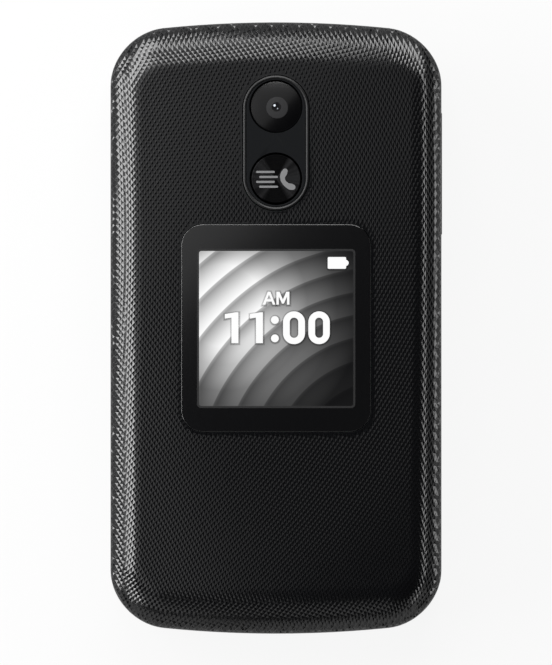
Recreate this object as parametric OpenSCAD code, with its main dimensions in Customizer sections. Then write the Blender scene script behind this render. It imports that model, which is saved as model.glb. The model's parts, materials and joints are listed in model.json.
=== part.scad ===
// A closed flip phone. It lies on its back with the lid on top.
// +Y runs towards the hinge end, +X to the side with the volume rocker.

/* [Body] */
// Width of the phone
body_w = 59; // [57:0.5:61]
// Length of the phone
body_l = 109; // [107:0.5:111]
// Thickness of the keypad half
base_t = 10; // [10:0.1:10.6]
// Thickness of the lid
lid_t = 8.6; // [8.6:0.1:9.2]
// Gap between the closed halves
lid_gap = 0.4; // [0.35:0.05:0.5]
// Corner radius of the outline
corner_r = 9.5; // [8.5:0.25:10]
// How far the bowed ends fall back at the sides
end_bow = 2.2; // [1.8:0.1:2.4]
// Thickness of the shell walls
wall = 1.2; // [1.1:0.05:1.3]
// How far the rounding reaches in at the back of the keypad half
base_roll = 2.6; // [2:0.1:2.6]
// Height of the seam in the keypad half
base_seam = 7; // [6.9:0.05:7.1]

/* [Lid face] */
// How far the lid's rounding reaches in at its sides
lid_side_roll = 5.5; // [4.5:0.1:6]
// How far the lid's rounding reaches in at its ends
lid_end_roll = 8; // [7:0.1:8.2]
// Height of the lid's rounding
lid_roll_h = 5.2; // [4.6:0.1:5.3]
// Width of the outer display's window
sub_window_w = 33.8; // [32:0.2:35]
// Length of the outer display's window
sub_window_l = 37; // [36:0.2:38]
// Corner radius of the outer display's window
sub_window_r = 3.9; // [3:0.1:5]
// Thickness of the windows and the trim plate in the lid's face
face_t = 0.8; // [0.6:0.05:0.9]
// Width of the trim plate round the camera and the round key
trim_w = 11.9; // [11.6:0.1:12.6]
// Length of the trim plate
trim_l = 24.2; // [24:0.1:24.8]
// Distance of the trim plate from the middle of the lid
trim_y = 33; // [32.8:0.1:33.2]
// Distance of the camera from the middle of the lid
camera_y = 39.5; // [39.3:0.1:39.6]
// Diameter of the camera window
camera_d = 9.4; // [9:0.1:9.6]
// Distance of the round key from the middle of the lid
call_y = 26.6; // [26.5:0.1:26.8]
// Diameter of the round key
call_d = 8.7; // [8.4:0.1:8.9]
// Ring gap round the round key
call_gap = 0.35; // [0.25:0.05:0.4]

/* [Lid inside] */
// Width of the window over the inner display
main_window_w = 53; // [51:0.5:54]
// Length of the window over the inner display
main_window_l = 75; // [72:0.5:75]
// Width of the inner display module
main_module_w = 50; // [47:0.5:51]
// Length of the inner display module
main_module_l = 69.2; // [66:0.2:70]
// Thickness of the inner display module
main_module_t = 2.2; // [1.8:0.1:2.3]
// Thickness of the floor behind the inner window
frame_floor = 1.6; // [1.5:0.05:1.7]
// Thickness of the circuit boards
board_t = 0.8; // [0.6:0.1:0.9]
// Width of the outer display module
sub_module_w = 31.5; // [30.5:0.5:33]
// Length of the outer display module
sub_module_l = 34.5; // [34:0.25:36]
// Thickness of the outer display module
sub_module_t = 1.8; // [1.4:0.1:1.9]
// Width of the camera body
camera_body = 6.2; // [5.6:0.1:6.3]

/* [Hinge] */
// Distance of the hinge axis from the hinge end
hinge_back = 6.2; // [6:0.1:6.4]
// How far the lid opens, in degrees
lid_swing = 160; // [150:1:162]
// Radius of the keypad half's hinge barrel
barrel_r = 5.2; // [5:0.1:5.5]
// Where the ears of the lid start, from the middle
ear_x = 20.5; // [20:0.1:21]
// Outer radius of the spring hinge
can_r = 3.1; // [2.9:0.05:3.3]
// Radius of the hinge shaft
shaft_r = 1.5; // [1.3:0.05:1.6]
// Outer radius of the hollow bushing
bushing_r = 2.95; // [2.7:0.05:3.1]
// Radial clearance of turning fits
run_fit = 0.05; // [0.03:0.01:0.08]

/* [Keypad] */
// Width of a number key
key_w = 15.6; // [14:0.2:15.8]
// Height of a number key
key_h = 10.4; // [9:0.2:10.6]
// Distance between key columns
key_pitch_x = 16.8; // [16.6:0.1:17.2]
// Distance between key rows
key_pitch_y = 11.8; // [11.6:0.1:11.9]
// Place of the first number row
key_row_y = -6.6; // [-6.8:0.1:-6.5]
// Corner radius of the keys
key_r = 2; // [1:0.1:3]
// Radius of the navigation ring
nav_r = 12; // [11.4:0.1:12.2]
// Radius of the OK key
ok_r = 5.2; // [4.6:0.1:5.4]
// Place of the navigation ring
nav_y = 20; // [19.8:0.1:20.2]
// Width of the keys beside the ring
side_key_w = 11.5; // [10.5:0.1:11.6]
// Height of the keys beside the ring
side_key_h = 9.5; // [8.5:0.1:9.8]
// Travel of the keys
key_travel = 0.3; // [0.2:0.05:0.35]
// Gap round each key
key_gap = 0.12; // [0.1:0.01:0.15]

/* [Back] */
// Thickness of the battery door
door_t = 1.4; // [1.3:0.05:1.45]
// Where the battery door ends, towards the hinge
door_y = 22; // [21.5:0.1:22.3]
// Travel that frees the battery door
door_travel = 4; // [3.5:0.1:4.2]
// Width of the battery
battery_w = 38.4; // [36:0.2:38.8]
// Length of the battery
battery_l = 52; // [50:0.25:52.5]
// Thickness of the battery
battery_t = 4.6; // [4:0.1:4.8]
// Radius of the headphone socket
jack_r = 1.8; // [1.75:0.01:1.85]
// Depth of the headphone socket
jack_depth = 12.3; // [11.5:0.1:12.6]
// Distance of the headphone socket from the middle
jack_x = 17; // [16.8:0.1:17.1]
// Width of the charging port's shell
usb_w = 8.94; // [8.8:0.01:9.1]
// Height of the charging port's shell
usb_h = 3.26; // [3.2:0.01:3.3]
// Length of the volume rocker
rocker_l = 22; // [20:0.5:22.5]
// Width of the volume rocker
rocker_w = 2.6; // [2.2:0.1:2.8]
// Distance of the volume rocker from the middle
rocker_y = 27.5; // [27.2:0.1:27.7]
// How far the volume rocker stands out
rocker_out = 0.1; // [0:0.05:0.3]

/* [Fasteners] */
// Radius of the screws
screw_r = 0.8; // [0.7:0.05:0.85]
// Radius of the screw heads
head_r = 1.45; // [1.3:0.05:1.5]
// Height of the screw heads
head_h = 0.75; // [0.6:0.05:0.8]
// Clearance between pieces that are fixed together
fit = 0.1; // [0.08:0.01:0.12]

/* [Hidden] */
$fn = 48;
eps = 0.5;

// Colours
shell_colour = "#232427";
glass_colour = "#101114";
metal_colour = "#b9bcc0";
board_colour = "#1e5b3a";
key_colour = "#2e3034";
rubber_colour = "#3a3b3e";

// The foot end and the right side, which the pieces near them are placed from
foot_y = -body_l / 2;
side_x = body_w / 2;

// Heights of the closed phone, from the floor up
closed_t = base_t + lid_gap + lid_t;
lid_inner_z = base_t + lid_gap;
frame_rim = 3.2;
bumper_seat = 0.5;
lid_seam = lid_inner_z + frame_rim;
shoulder_z = closed_t - lid_roll_h;
lid_ceiling = closed_t - wall;
face_z = closed_t - face_t;
rest_gap = 0.05;
frame_floor_z = lid_inner_z + frame_floor;
main_module_z = frame_floor_z + rest_gap;
lid_board_z = main_module_z + main_module_t + 0.25;
lid_board_top = lid_board_z + board_t;
sub_module_z = lid_ceiling - rest_gap - sub_module_t;

// Hinge
hinge_y = body_l / 2 - hinge_back;
hinge_z = base_t + lid_gap / 2;
swing_r = closed_t - hinge_z + 0.1;
recess_r = swing_r + 0.4;
barrel_x = ear_x - 0.3;
barrel_space = barrel_r + 0.4;
liner_r = barrel_space + 0.8;
liner_end = 1.6;
lip_deg = atan2(hinge_back, lid_seam - hinge_z);
web_tilt = lip_deg + lid_swing + 4.5 - 180;

// Levels of the keypad half
door_gap = 0.1;
rear_floor_z = door_t + door_gap + wall;
board_z = 6.5;
board_top = board_z + board_t;
dome_top = board_top + 0.35;
mat_z = dome_top + 0.1;
mat_t = 0.3;
plate_t = 1.1;
plate_z = base_t - plate_t;
key_flange_t = 0.35;
key_flange = 0.35;
key_z = plate_z - 0.1 - key_flange_t;
key_top = base_t + 0.1;
base_end_y = hinge_y - 4.3;

// Places of the keys: middle of each key
key_x_side = nav_r + side_key_w / 2 + 1.85;
side_key_pitch = side_key_h + 2.9;
soft_y = nav_y + 7;
send_y = soft_y - side_key_pitch;
clear_w = 11;
clear_h = 5;
clear_y = nav_y - nav_r - clear_h / 2 - 1.6;
function digitPlace(i) = [(i % 3 - 1) * key_pitch_x, key_row_y - floor(i / 3) * key_pitch_y];

// Each press key's middle and its size
press_keys = concat(
    [for (i = [0:11]) [digitPlace(i), [key_w, key_h]]],
    [for (s = [-1, 1], y = [soft_y, send_y]) [[s * key_x_side, y], [side_key_w, side_key_h]]],
    [[[0, clear_y], [clear_w, clear_h]]]);
nav_dome_r = (nav_r + ok_r) / 2;
dome_places = concat([for (k = press_keys) k[0]], [[0, nav_y]],
    [for (a = [0:90:270]) [nav_dome_r * cos(a), nav_y + nav_dome_r * sin(a)]]);

// Screws
screw_side_x = side_x - 7;
base_screw_places = [for (s = [-1, 1], p = [[9.5, foot_y + 4.3], [screw_side_x, (send_y + key_row_y) / 2],
    [screw_side_x, hinge_y - 12.8]]) [s * p[0], p[1]]];
lid_screw_places = [for (s = [-1, 1], p = [[side_x - 10.5, foot_y + 4.5], [screw_side_x, hinge_y - 14.3]])
    [s * p[0], p[1]]];
boss_r = 1.9;
base_boss_r = 2.4;
base_head_z = door_t + 0.8;
base_screw_tip = plate_z - 0.5;
lid_head_z = lid_inner_z + bumper_seat + rest_gap;
lid_screw_tip = lid_seam + 2.5;
slot_w = 0.3;

// Inner display, earpiece and bumpers
main_y = -6;
main_window_y = main_y - 0.5;
main_window_t = 0.9;
main_view_w = main_module_w - 5;
main_view_l = main_module_l - 9.8;
ear_slot_y = foot_y + 5;
ear_mesh_w = 12;
ear_mesh_h = 2;
ear_mesh_t = 0.3;
bumper_r = 1.95;
bumper_out = 0.25;
magnet_x = 12.5;

// Outer display, camera and round key
ledge = 2;
sub_view = sub_module_w - 3.9;
camera_body_t = 2.4;
camera_module_z = lid_inner_z + 3.6;
lens_r = 1.5;
call_flange_t = 0.5;
call_flange = 0.4;
call_travel = 0.3;
call_switch_t = 0.6;
call_switch_r = 2.2;

// Lid's circuit board and the cable to the keypad half
lid_board_w = 36;
lid_board_from = foot_y + 24.5;
lid_board_to = hinge_y - 13.1;
socket_x = 11;
socket_y = lid_board_from + 6.5;
flex_x = ear_x + 4;
flex_w = 2.1;
flex_t = 0.15;
flex_roll_r = 1.9;
flex_roll_t = 0.25;
flex_z = lid_board_top;
flex_bend_y = hinge_y - 6.8;

// Pieces along the hinge axis, from the middle outwards
can_from = 2.4;
can_to = ear_x - 0.5;
can_wall = 0.6;
can_end = 0.8;
can_bore = can_r - can_wall;
cam_from = 10.4;
cam_to = 12.6;
cam_tooth = 0.6;
cam_bore = 1.1;
follower_from = cam_to + 2 * cam_tooth + 0.1;
follower_to = follower_from + 2.2;
spring_turns = 6;
spring_wire_r = 0.3;
shaft_key_w = 4.4;
shaft_key_h = 3;
shaft_key_l = 5.2;
bushing_seat = 1.7;
bushing_end_x = 12.6;
fixed_fit = 0.02;
cable_way = 2.1;

// Battery and its well
battery_end = door_y - 6.5;
battery_y = battery_end - battery_l / 2;
battery_z = door_t + 0.2;
well_gap = 0.2;
well_wall = 0.8;
contacts_w = 10;
contacts_l = 3.1;

// Door hooks
hook_l = 4;
hook_w = 2.4;
hook_stem = 1;
hook_h = 1.2;
hook_t = 0.4;
hook_gap = 0.3;
hook_places = [for (s = [-1, 1], y = [foot_y + 28.5, door_y - 9]) [s * (side_x - 5.7), y]];

// Ports
jack_mouth_y = foot_y + 1;
jack_body_w = 6.4;
jack_body_h = 4.8;
jack_z = board_z - rest_gap - jack_body_h / 2;
jack_collar_r = 2.2;
jack_collar_l = 1.5;
usb_mouth_y = foot_y + 0.5;
usb_depth = 7;
usb_wall = 0.3;
usb_z = board_z - 0.17 - usb_h / 2;

// Volume rocker
rocker_z = base_seam - 2;
rocker_pivot_x = side_x - 1.9;
rocker_flange_t = 0.6;
rocker_flange_in = 0.3;
rocker_flange_l = rocker_l + 1;
rocker_flange_w = rocker_w + 0.6;
rocker_pad_y = rocker_l / 2 - 3;
rocker_pad_l = 0.7;
switch_room = 0.15;

// Microphone, loudspeaker and vibration motor
mic_x = 17;
mic_y = foot_y + 4.1;
speaker_x = -11.5;
speaker_y = hinge_y - 17.8;
speaker_w = 15;
speaker_l = 11;
speaker_t = 3.1;
grille_pitch = 2.2;
grille_r = 0.6;
motor_x = 11;
motor_y = hinge_y - 18.3;
motor_z = rear_floor_z + 1.4;
motor_r = 2;
motor_l = 8.5;
motor_shaft_r = 0.4;
weight_x = 7.5;
weight_l = 3;
weight_r = 2.1;

// Shield can and card socket, which hang below the main board
low_parts_y = battery_end + 3.5;
can_low_z = board_z - 1.6;
shield_w = 23;
shield_l = 6.6;
shield_wall = 0.25;
shield_x = side_x - 5.5 - shield_w;
card_x = 4.5 - side_x;
card_w = 21;
card_l = 13;
card_slot_w = 9.4;
card_slot_h = 0.75;
card_wall = 0.4;

// Pad plates under the keys
pad_from = foot_y + 6.6;
pad_to = hinge_y - 14.8;
pad_w = body_w - 6;
dome_r = 2.1;
dome_top_r = 1.3;
plunger_r = 0.8;
nav_bore = ok_r + 0.5;
key_step = 0.3;

// Outlines

function arc(cx, cy, r, from, to, steps) =
    [for (i = [0:steps]) let (a = from + (to - from) * i / steps) [cx + r * cos(a), cy + r * sin(a)]];

function rounded(w, h, r, steps = 5) = concat(
    arc(w / 2 - r, h / 2 - r, r, 0, 90, steps), arc(-w / 2 + r, h / 2 - r, r, 90, 180, steps),
    arc(-w / 2 + r, -h / 2 + r, r, 180, 270, steps), arc(w / 2 - r, -h / 2 + r, r, 270, 360, steps));

// The ends are bowed: each point falls back with the square of its distance from the middle
function bowed(p) = [p[0], p[1] * (1 - end_bow / (body_l / 2) * pow(p[0] / (body_w / 2), 2))];

function endPoints(w, y, steps = 6) = [for (i = [1:steps - 1]) [w / 2 - w * i / steps, y]];

// The phone's outline, drawn in by dx at the sides and by dy at the ends
function outline(dx, dy) =
    let (w = body_w - 2 * dx, l = body_l - 2 * dy, r = max(1, corner_r - min(dx, dy)),
        cx = w / 2 - r, cy = l / 2 - r, n = 9)
    [for (p = concat(arc(cx, cy, r, 0, 90, n), endPoints(2 * cx, l / 2), arc(-cx, cy, r, 90, 180, n),
        arc(-cx, -cy, r, 180, 270, n), endPoints(-2 * cx, -l / 2), arc(cx, -cy, r, 270, 360, n)))
        bowed(p)];

function ring(dx, dy, z) = [for (p = outline(dx, dy)) [p[0], p[1], z]];

// Rings of the lid's outside, drawn in by inset, from the height low up to its face
function lidRings(inset, low) = concat([ring(inset, inset, low)],
    [for (i = [0:7]) let (a = 90 * i / 7) ring(inset + lid_side_roll * (1 - cos(a)),
        inset + lid_end_roll * (1 - cos(a)), shoulder_z + (lid_roll_h - inset) * sin(a))]);

// Rings of the keypad half's back, from the floor up to the seam
function backRings() = concat(
    [for (i = [0:4]) let (a = 90 - 90 * i / 4)
        ring(base_roll * (1 - cos(a)), base_roll * (1 - cos(a)), base_roll * (1 - sin(a)))],
    [ring(0, 0, base_seam)]);

// A closed skin over a stack of rings
module skin(rings) {
    n = len(rings[0]);
    top = len(rings) - 1;
    polyhedron(points = [for (r = rings) each r], faces = concat(
        [[for (i = [0:n - 1]) i]],
        [for (k = [0:top - 1], i = [0:n - 1]) let (j = (i + 1) % n)
            each [[k * n + i, (k + 1) * n + i, k * n + j], [k * n + j, (k + 1) * n + i, (k + 1) * n + j]]],
        [[for (i = [n - 1:-1:0]) top * n + i]]), convexity = 6);
}

// Shared shapes

module plate(points, z, h) translate([0, 0, z]) linear_extrude(h) polygon(points);

module slab(w, h, r, z, t) plate(rounded(w, h, r), z, t);

module block(from, to) translate(from) cube([for (i = [0:2]) to[i] - from[i]]);

// A cylinder along X about the hinge axis
module hingeRod(r, from, to) translate([from, hinge_y, hinge_z]) rotate([0, 90, 0])
    cylinder(r = r, h = to - from);

module hingeTube(r, bore, from, to) difference() {
    hingeRod(r, from, to);
    hingeRod(bore, from - eps, to + eps);
}

module screwSet(places, head_z, tip_z) for (p = places) translate([p[0], p[1], 0]) difference() {
    union() {
        translate([0, 0, head_z]) cylinder(r = head_r, h = head_h);
        translate([0, 0, head_z]) cylinder(r = screw_r, h = tip_z - head_z);
    }
    for (a = [0, 90]) rotate([0, 0, a]) translate([-head_r * 0.7, -slot_w / 2, head_z - eps])
        cube([head_r * 1.4, slot_w, eps + head_h / 2]);
}

// Lid

module lid_outer_cover() color(shell_colour) difference() {
    union() {
        difference() {
            skin(lidRings(0, lid_seam));
            skin(lidRings(wall, lid_seam - 1));
        }
        intersection() {
            for (p = lid_screw_places) translate([p[0], p[1], lid_seam])
                cylinder(r = boss_r, h = lid_ceiling + wall / 2 - lid_seam);
            skin(lidRings(wall / 2, lid_seam - 1));
        }
    }
    for (p = lid_screw_places) translate([p[0], p[1], lid_seam - eps])
        cylinder(r = screw_r + run_fit, h = lid_screw_tip + 0.2 + eps - lid_seam);
    slab(sub_window_w + fit, sub_window_l + fit, sub_window_r, face_z, face_t + eps);
    slab(sub_window_w - 2 * ledge, sub_window_l - 2 * ledge, sub_window_r - 1, lid_ceiling - eps, wall + eps);
    translate([0, trim_y, 0]) slab(trim_w + fit, trim_l + fit, trim_w / 2, face_z, face_t + eps);
    translate([0, camera_y, lid_ceiling - eps]) cylinder(r = camera_d / 2 - 0.8, h = wall + eps);
    translate([0, call_y, lid_ceiling - eps]) cylinder(r = call_d / 2 + call_gap + 0.6, h = wall + eps);
    hingeRod(barrel_space, -ear_x, ear_x);
}

module lidEar() {
    // Rounded nose below the cover
    intersection() {
        plate(outline(0, 0), 0, lid_seam);
        hingeRod(swing_r, ear_x, body_w / 2);
        translate([ear_x, hinge_y - 2.4, hinge_z - 1.2]) rotate([0, 90, 0])
            cylinder(r = swing_r - 1.3, h = body_w / 2 - ear_x);
    }
    // Upper part, inside the cover
    intersection() {
        skin(lidRings(wall + fit, lid_seam - fit));
        hingeRod(liner_r, ear_x, body_w / 2);
    }
}

module lidEars() for (s = [0, 1]) mirror([s, 0, 0]) lidEar();

module lid_inner_frame() color(shell_colour) difference() {
    union() {
        // Floor and walls
        intersection() {
            difference() {
                plate(outline(0, 0), lid_inner_z, frame_rim);
                plate(outline(wall, wall), frame_floor_z, frame_rim);
            }
            block([-body_w, -body_l, 0], [body_w, hinge_y, closed_t]);
        }
        // Tongue that lines the cover up
        intersection() {
            difference() {
                union() {
                    plate(outline(wall - 0.2, wall - 0.2), lid_seam - 0.8, 0.8);
                    plate(outline(wall + fit, wall + fit), lid_seam - fit, 0.7);
                }
                plate(outline(wall + 0.8, wall + 0.8), lid_seam - 2, 4);
            }
            block([-body_w, -body_l, 0], [body_w, hinge_y - 12, closed_t]);
        }
        // Screw posts
        for (p = lid_screw_places) translate([p[0], p[1], frame_floor_z - fit])
            cylinder(r = boss_r, h = frame_rim - frame_floor);
        // Liner round the barrel
        intersection() {
            hingeRod(liner_r, -ear_x, ear_x);
            block([-ear_x, 0, lid_inner_z], [ear_x, hinge_y + liner_end, lid_ceiling - fit]);
        }
        lidEars();
    }
    hingeRod(barrel_space, -ear_x, ear_x);
    // Inner window, its view and the earpiece slot
    translate([0, main_window_y, 0])
        slab(main_window_w + fit, main_window_l + fit, 2, lid_inner_z - eps, main_window_t + eps);
    translate([0, main_y, 0]) slab(main_view_w, main_view_l, 1, lid_inner_z, frame_floor + eps);
    translate([0, ear_slot_y, 0]) {
        slab(ear_mesh_w + fit, ear_mesh_h + fit, 0.8, lid_inner_z - eps, ear_mesh_t + eps);
        slab(ear_mesh_w - 2, ear_mesh_h - 0.8, 0.5, lid_inner_z, frame_floor + eps);
    }
    // Screws and their plugs
    for (p = lid_screw_places) translate([p[0], p[1], 0]) {
        translate([0, 0, lid_inner_z - eps]) cylinder(r = bumper_r + run_fit, h = eps + bumper_seat);
        translate([0, 0, lid_inner_z]) cylinder(r = head_r + fit, h = lid_head_z + head_h - lid_inner_z);
        translate([0, 0, lid_inner_z]) cylinder(r = screw_r + fit, h = frame_rim + eps);
    }
    // Seat of the hinge shaft's key in the right ear
    seat_w = shaft_key_w / 2 + fixed_fit;
    seat_h = shaft_key_h / 2 + fixed_fit;
    block([ear_x - eps, hinge_y - seat_w, hinge_z - seat_h],
        [ear_x + shaft_key_l + fit, hinge_y + seat_w, hinge_z + seat_h]);
    // Seat of the bushing in the left ear, and the cable's way into it
    hingeRod(bushing_r + fixed_fit, -ear_x - bushing_seat - 0.1, -ear_x + eps);
    ear_end = -ear_x - bushing_seat;
    way_x = -flex_x - 0.2;
    way_top = flex_z + flex_t + 0.35;
    way_y = hinge_y - cable_way;
    block([way_x, way_y, hinge_z - cable_way], [ear_end, hinge_y + cable_way, hinge_z + cable_way]);
    block([way_x, way_y, hinge_z], [ear_end, way_y + 0.6, way_top]);
    block([way_x, flex_bend_y - 2.2, flex_z - 0.3], [ear_end, way_y + 0.6, way_top]);
}

module main_display_window() color(glass_colour) translate([0, main_window_y, 0])
    slab(main_window_w, main_window_l, 2, lid_inner_z, main_window_t - fit / 2);

module main_display_module() color("#2a3a4a") translate([0, main_y, 0])
    slab(main_module_w, main_module_l, 0.6, main_module_z, main_module_t);

module sub_display_window() color(glass_colour)
    slab(sub_window_w, sub_window_l, sub_window_r, face_z, face_t);

module sub_display_module() color("#8a9096") difference() {
    slab(sub_module_w, sub_module_l, 0.6, sub_module_z, sub_module_t);
    translate([0, 0, sub_module_z + sub_module_t - 0.2])
        linear_extrude(eps) square([sub_view, sub_view], center = true);
}

module camera_trim() color("#1c1e20") difference() {
    translate([0, trim_y, 0]) slab(trim_w, trim_l, trim_w / 2 - 0.01, face_z, face_t);
    translate([0, camera_y, face_z - eps]) cylinder(r = camera_d / 2 + run_fit, h = face_t + 2 * eps);
    translate([0, call_y, face_z - eps]) cylinder(r = call_d / 2 + call_gap, h = face_t + 2 * eps);
}

module camera_window() color("#0a0b0d") translate([0, camera_y, face_z])
    cylinder(r = camera_d / 2, h = face_t);

module camera_module() color("#15161a") translate([0, camera_y, 0]) difference() {
    union() {
        slab(camera_body, camera_body, 0.5, camera_module_z, camera_body_t);
        translate([0, 0, camera_module_z]) cylinder(r = 2.5, h = face_z - 0.15 - camera_module_z);
    }
    translate([0, 0, face_z - 0.65]) cylinder(r = lens_r, h = 1);
}

module call_key() color("#26282b") translate([0, call_y, 0]) {
    translate([0, 0, face_z - run_fit - call_flange_t]) cylinder(r = call_d / 2 + call_gap + call_flange,
        h = call_flange_t);
    translate([0, 0, face_z - call_flange_t]) cylinder(r = call_d / 2, h = call_flange_t + face_t - run_fit);
    translate([0, 0, lid_board_top + call_switch_t + call_travel + rest_gap])
        cylinder(r = 1.2, h = face_z - call_flange_t - lid_board_top - call_switch_t - call_travel);
}

module lid_pcb() color(board_colour) {
    block([-lid_board_w / 2, lid_board_from, lid_board_z], [lid_board_w / 2, lid_board_to, lid_board_top]);
    // Dome switch under the round key, and the two display connectors
    translate([0, call_y, lid_board_top - 0.1]) cylinder(r = call_switch_r, h = call_switch_t + 0.1);
    for (s = [-1, 1]) translate([s * socket_x, socket_y, lid_board_top - 0.1])
        block([-4, -1.5, 0], [4, 1.5, 0.5]);
}

module earpiece() color(metal_colour) translate([0, ear_slot_y + 0.7, 0])
    slab(ear_mesh_w, 5, 1, frame_floor_z + rest_gap, 2);

module earpiece_mesh() color("#6d7074") translate([0, ear_slot_y, 0]) difference() {
    slab(ear_mesh_w, ear_mesh_h, 0.8, lid_inner_z, ear_mesh_t);
    for (i = [0:9]) translate([(i - 4.5) * ear_mesh_w / 12, 0, lid_inner_z - eps])
        cylinder(r = 0.3, h = 1 + eps);
}

module lid_magnet() color(metal_colour) translate([magnet_x, ear_slot_y, 0])
    slab(5, 2.5, 0.3, frame_floor_z + rest_gap, 1.8);

module lid_bumpers() color(rubber_colour) for (p = lid_screw_places)
    translate([p[0], p[1], lid_inner_z - bumper_out])
        cylinder(r = bumper_r, h = bumper_out + bumper_seat - run_fit);

module lid_screws() color(metal_colour) screwSet(lid_screw_places, lid_head_z, lid_screw_tip);

module lid_flex() color("#b5722c") {
    // Flat run from the board to the left ear
    tail = lid_board_w / 2;
    inner_x = -flex_x + flex_w;
    drop_y = hinge_y - flex_roll_r;
    plate([[-tail, lid_board_to - 2], [4 - tail, lid_board_to - 2], [4 - tail, flex_bend_y],
        [inner_x, flex_bend_y], [inner_x, drop_y + flex_t], [-flex_x, drop_y + flex_t],
        [-flex_x, flex_bend_y - 4], [-tail, flex_bend_y - 4]], flex_z, flex_t);
    // Down to the axis, then rolled up through the bushing
    block([-flex_x, drop_y, hinge_z], [inner_x, drop_y + flex_t, flex_z + flex_t]);
    hingeTube(flex_roll_r, flex_roll_r - flex_roll_t, -flex_x, -bushing_end_x);
}

// Hinge

module hinge_can() color(metal_colour) {
    hingeTube(can_r, can_bore, can_from, can_to - can_end);
    hingeRod(can_r, can_from, can_from + can_end);
    hingeTube(can_r, shaft_r + run_fit, can_to - can_end, can_to);
}

// Points of a coil about the X axis: wire rings of 6 sides, 12 to a turn
module hinge_spring() color("#8e9296") translate([0, hinge_y, hinge_z]) {
    steps = 12 * spring_turns;
    from = can_from + can_end + spring_wire_r + rest_gap;
    pitch = (cam_from - can_from - can_end - 2 * (spring_wire_r + rest_gap)) / spring_turns;
    mean_r = can_bore - spring_wire_r - 0.15;
    pts = [for (k = [0:steps], s = [0:5]) let (a = 30 * k, b = 60 * s, r = mean_r + spring_wire_r * cos(b))
        [from + pitch * k / 12 + spring_wire_r * sin(b), r * cos(a), r * sin(a)]];
    polyhedron(points = pts, faces = concat([[for (s = [5:-1:0]) s]],
        [for (k = [0:steps - 1], s = [0:5]) let (t = (s + 1) % 6)
            each [[6 * k + s, 6 * k + t, 6 * k + 6 + s], [6 * k + t, 6 * k + 6 + t, 6 * k + 6 + s]]],
        [[for (s = [0:5]) 6 * steps + s]]), convexity = 10);
}

module camLobes(from, to) for (a = [0, 180]) translate([0, hinge_y, hinge_z]) rotate([a, 0, 0])
    translate([from, -0.8, 1.2]) cube([to - from, 1.6, 0.9]);

module hinge_cam() color("#77797d") {
    hingeTube(can_bore - run_fit, cam_bore, cam_from, cam_to);
    camLobes(cam_to - 0.1, cam_to + cam_tooth);
}

module hinge_shaft() color("#9ea2a6") {
    hingeRod(cam_bore - 0.1, can_from + can_end + 0.2, follower_from + 0.1);
    hingeRod(can_bore - run_fit, follower_from, follower_to);
    camLobes(follower_from - cam_tooth, follower_from + 0.1);
    hingeRod(shaft_r, follower_to - 0.1, ear_x + 0.1);
    block([ear_x, hinge_y - shaft_key_w / 2, hinge_z - shaft_key_h / 2],
        [ear_x + shaft_key_l, hinge_y + shaft_key_w / 2, hinge_z + shaft_key_h / 2]);
}

module hinge_bushing() color("#9ea2a6")
    hingeTube(bushing_r, flex_roll_r + 0.1, -ear_x - bushing_seat, -bushing_end_x);

// Keypad half

// The web between the barrel and the shell, as seen from the side; its lower face lets the lid's lip pass
module barrelWeb(z0, z1) {
    slope = tan(web_tilt);
    translate([-barrel_x, 0, 0]) rotate([90, 0, 90]) linear_extrude(2 * barrel_x)
        polygon([[hinge_y - (hinge_z - z1) * slope, z1], [hinge_y - recess_r - 0.6, z1],
            [hinge_y - recess_r - 0.6, z0], [hinge_y - (hinge_z - z0) * slope, z0]]);
}

module roundBosses(places, z, h, r) for (p = places) translate([p[0], p[1], z]) cylinder(r = r, h = h);

module keyHole(k) translate([k[0][0], k[0][1], 0])
    slab(k[1][0] + 2 * key_gap, k[1][1] + 2 * key_gap, key_r + key_gap, plate_z - eps, plate_t + 2 * eps);

module base_front_housing() color(shell_colour) difference() {
    union() {
        difference() {
            union() {
                plate(outline(0, 0), base_seam, base_t - base_seam - 0.4);
                plate(outline(0.3, 0.3), base_seam, base_t - base_seam);
            }
            difference() {
                plate(outline(wall, wall), base_seam - eps, plate_z - base_seam + eps);
                hingeRod(recess_r + wall, -body_w, body_w);
            }
            hingeRod(recess_r, -body_w, body_w);
            block([-body_w, hinge_y, 0], [body_w, body_l, closed_t]);
        }
        roundBosses(base_screw_places, board_top + 0.05, plate_z - board_top, base_boss_r - 0.6);
        barrelWeb(base_seam, base_t);
        hingeRod(barrel_r, -barrel_x, barrel_x);
    }
    for (k = press_keys) keyHole(k);
    translate([0, nav_y, 0]) {
        translate([0, 0, plate_z - eps]) cylinder(r = nav_r + 2 * key_gap, h = plate_t + 2 * eps);
        translate([0, 0, plate_z - eps]) cylinder(r = nav_r + key_flange + 0.2, h = eps + 0.3);
    }
    roundBosses(base_screw_places, board_top, base_screw_tip + 0.2 - board_top, screw_r + run_fit);
    translate([mic_x, mic_y, plate_z - eps]) cylinder(r = 0.5, h = plate_t + 2 * eps);
    // Bore of the spring hinge, bore of the bushing, and the cable's way on into the shell
    hingeRod(can_r + fixed_fit, can_from - 0.1, barrel_x + eps);
    hingeRod(bushing_r + run_fit, -barrel_x - eps, -bushing_end_x + 0.1);
    cable_end = bushing_end_x - 6.6;
    hingeRod(flex_roll_r + 0.3, -barrel_x, -cable_end);
    translate([-cable_end - 5, hinge_y, hinge_z]) rotate([-15, 0, 0]) translate([0, -12, -0.6])
        cube([4, 12, 1.2]);
}

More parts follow.
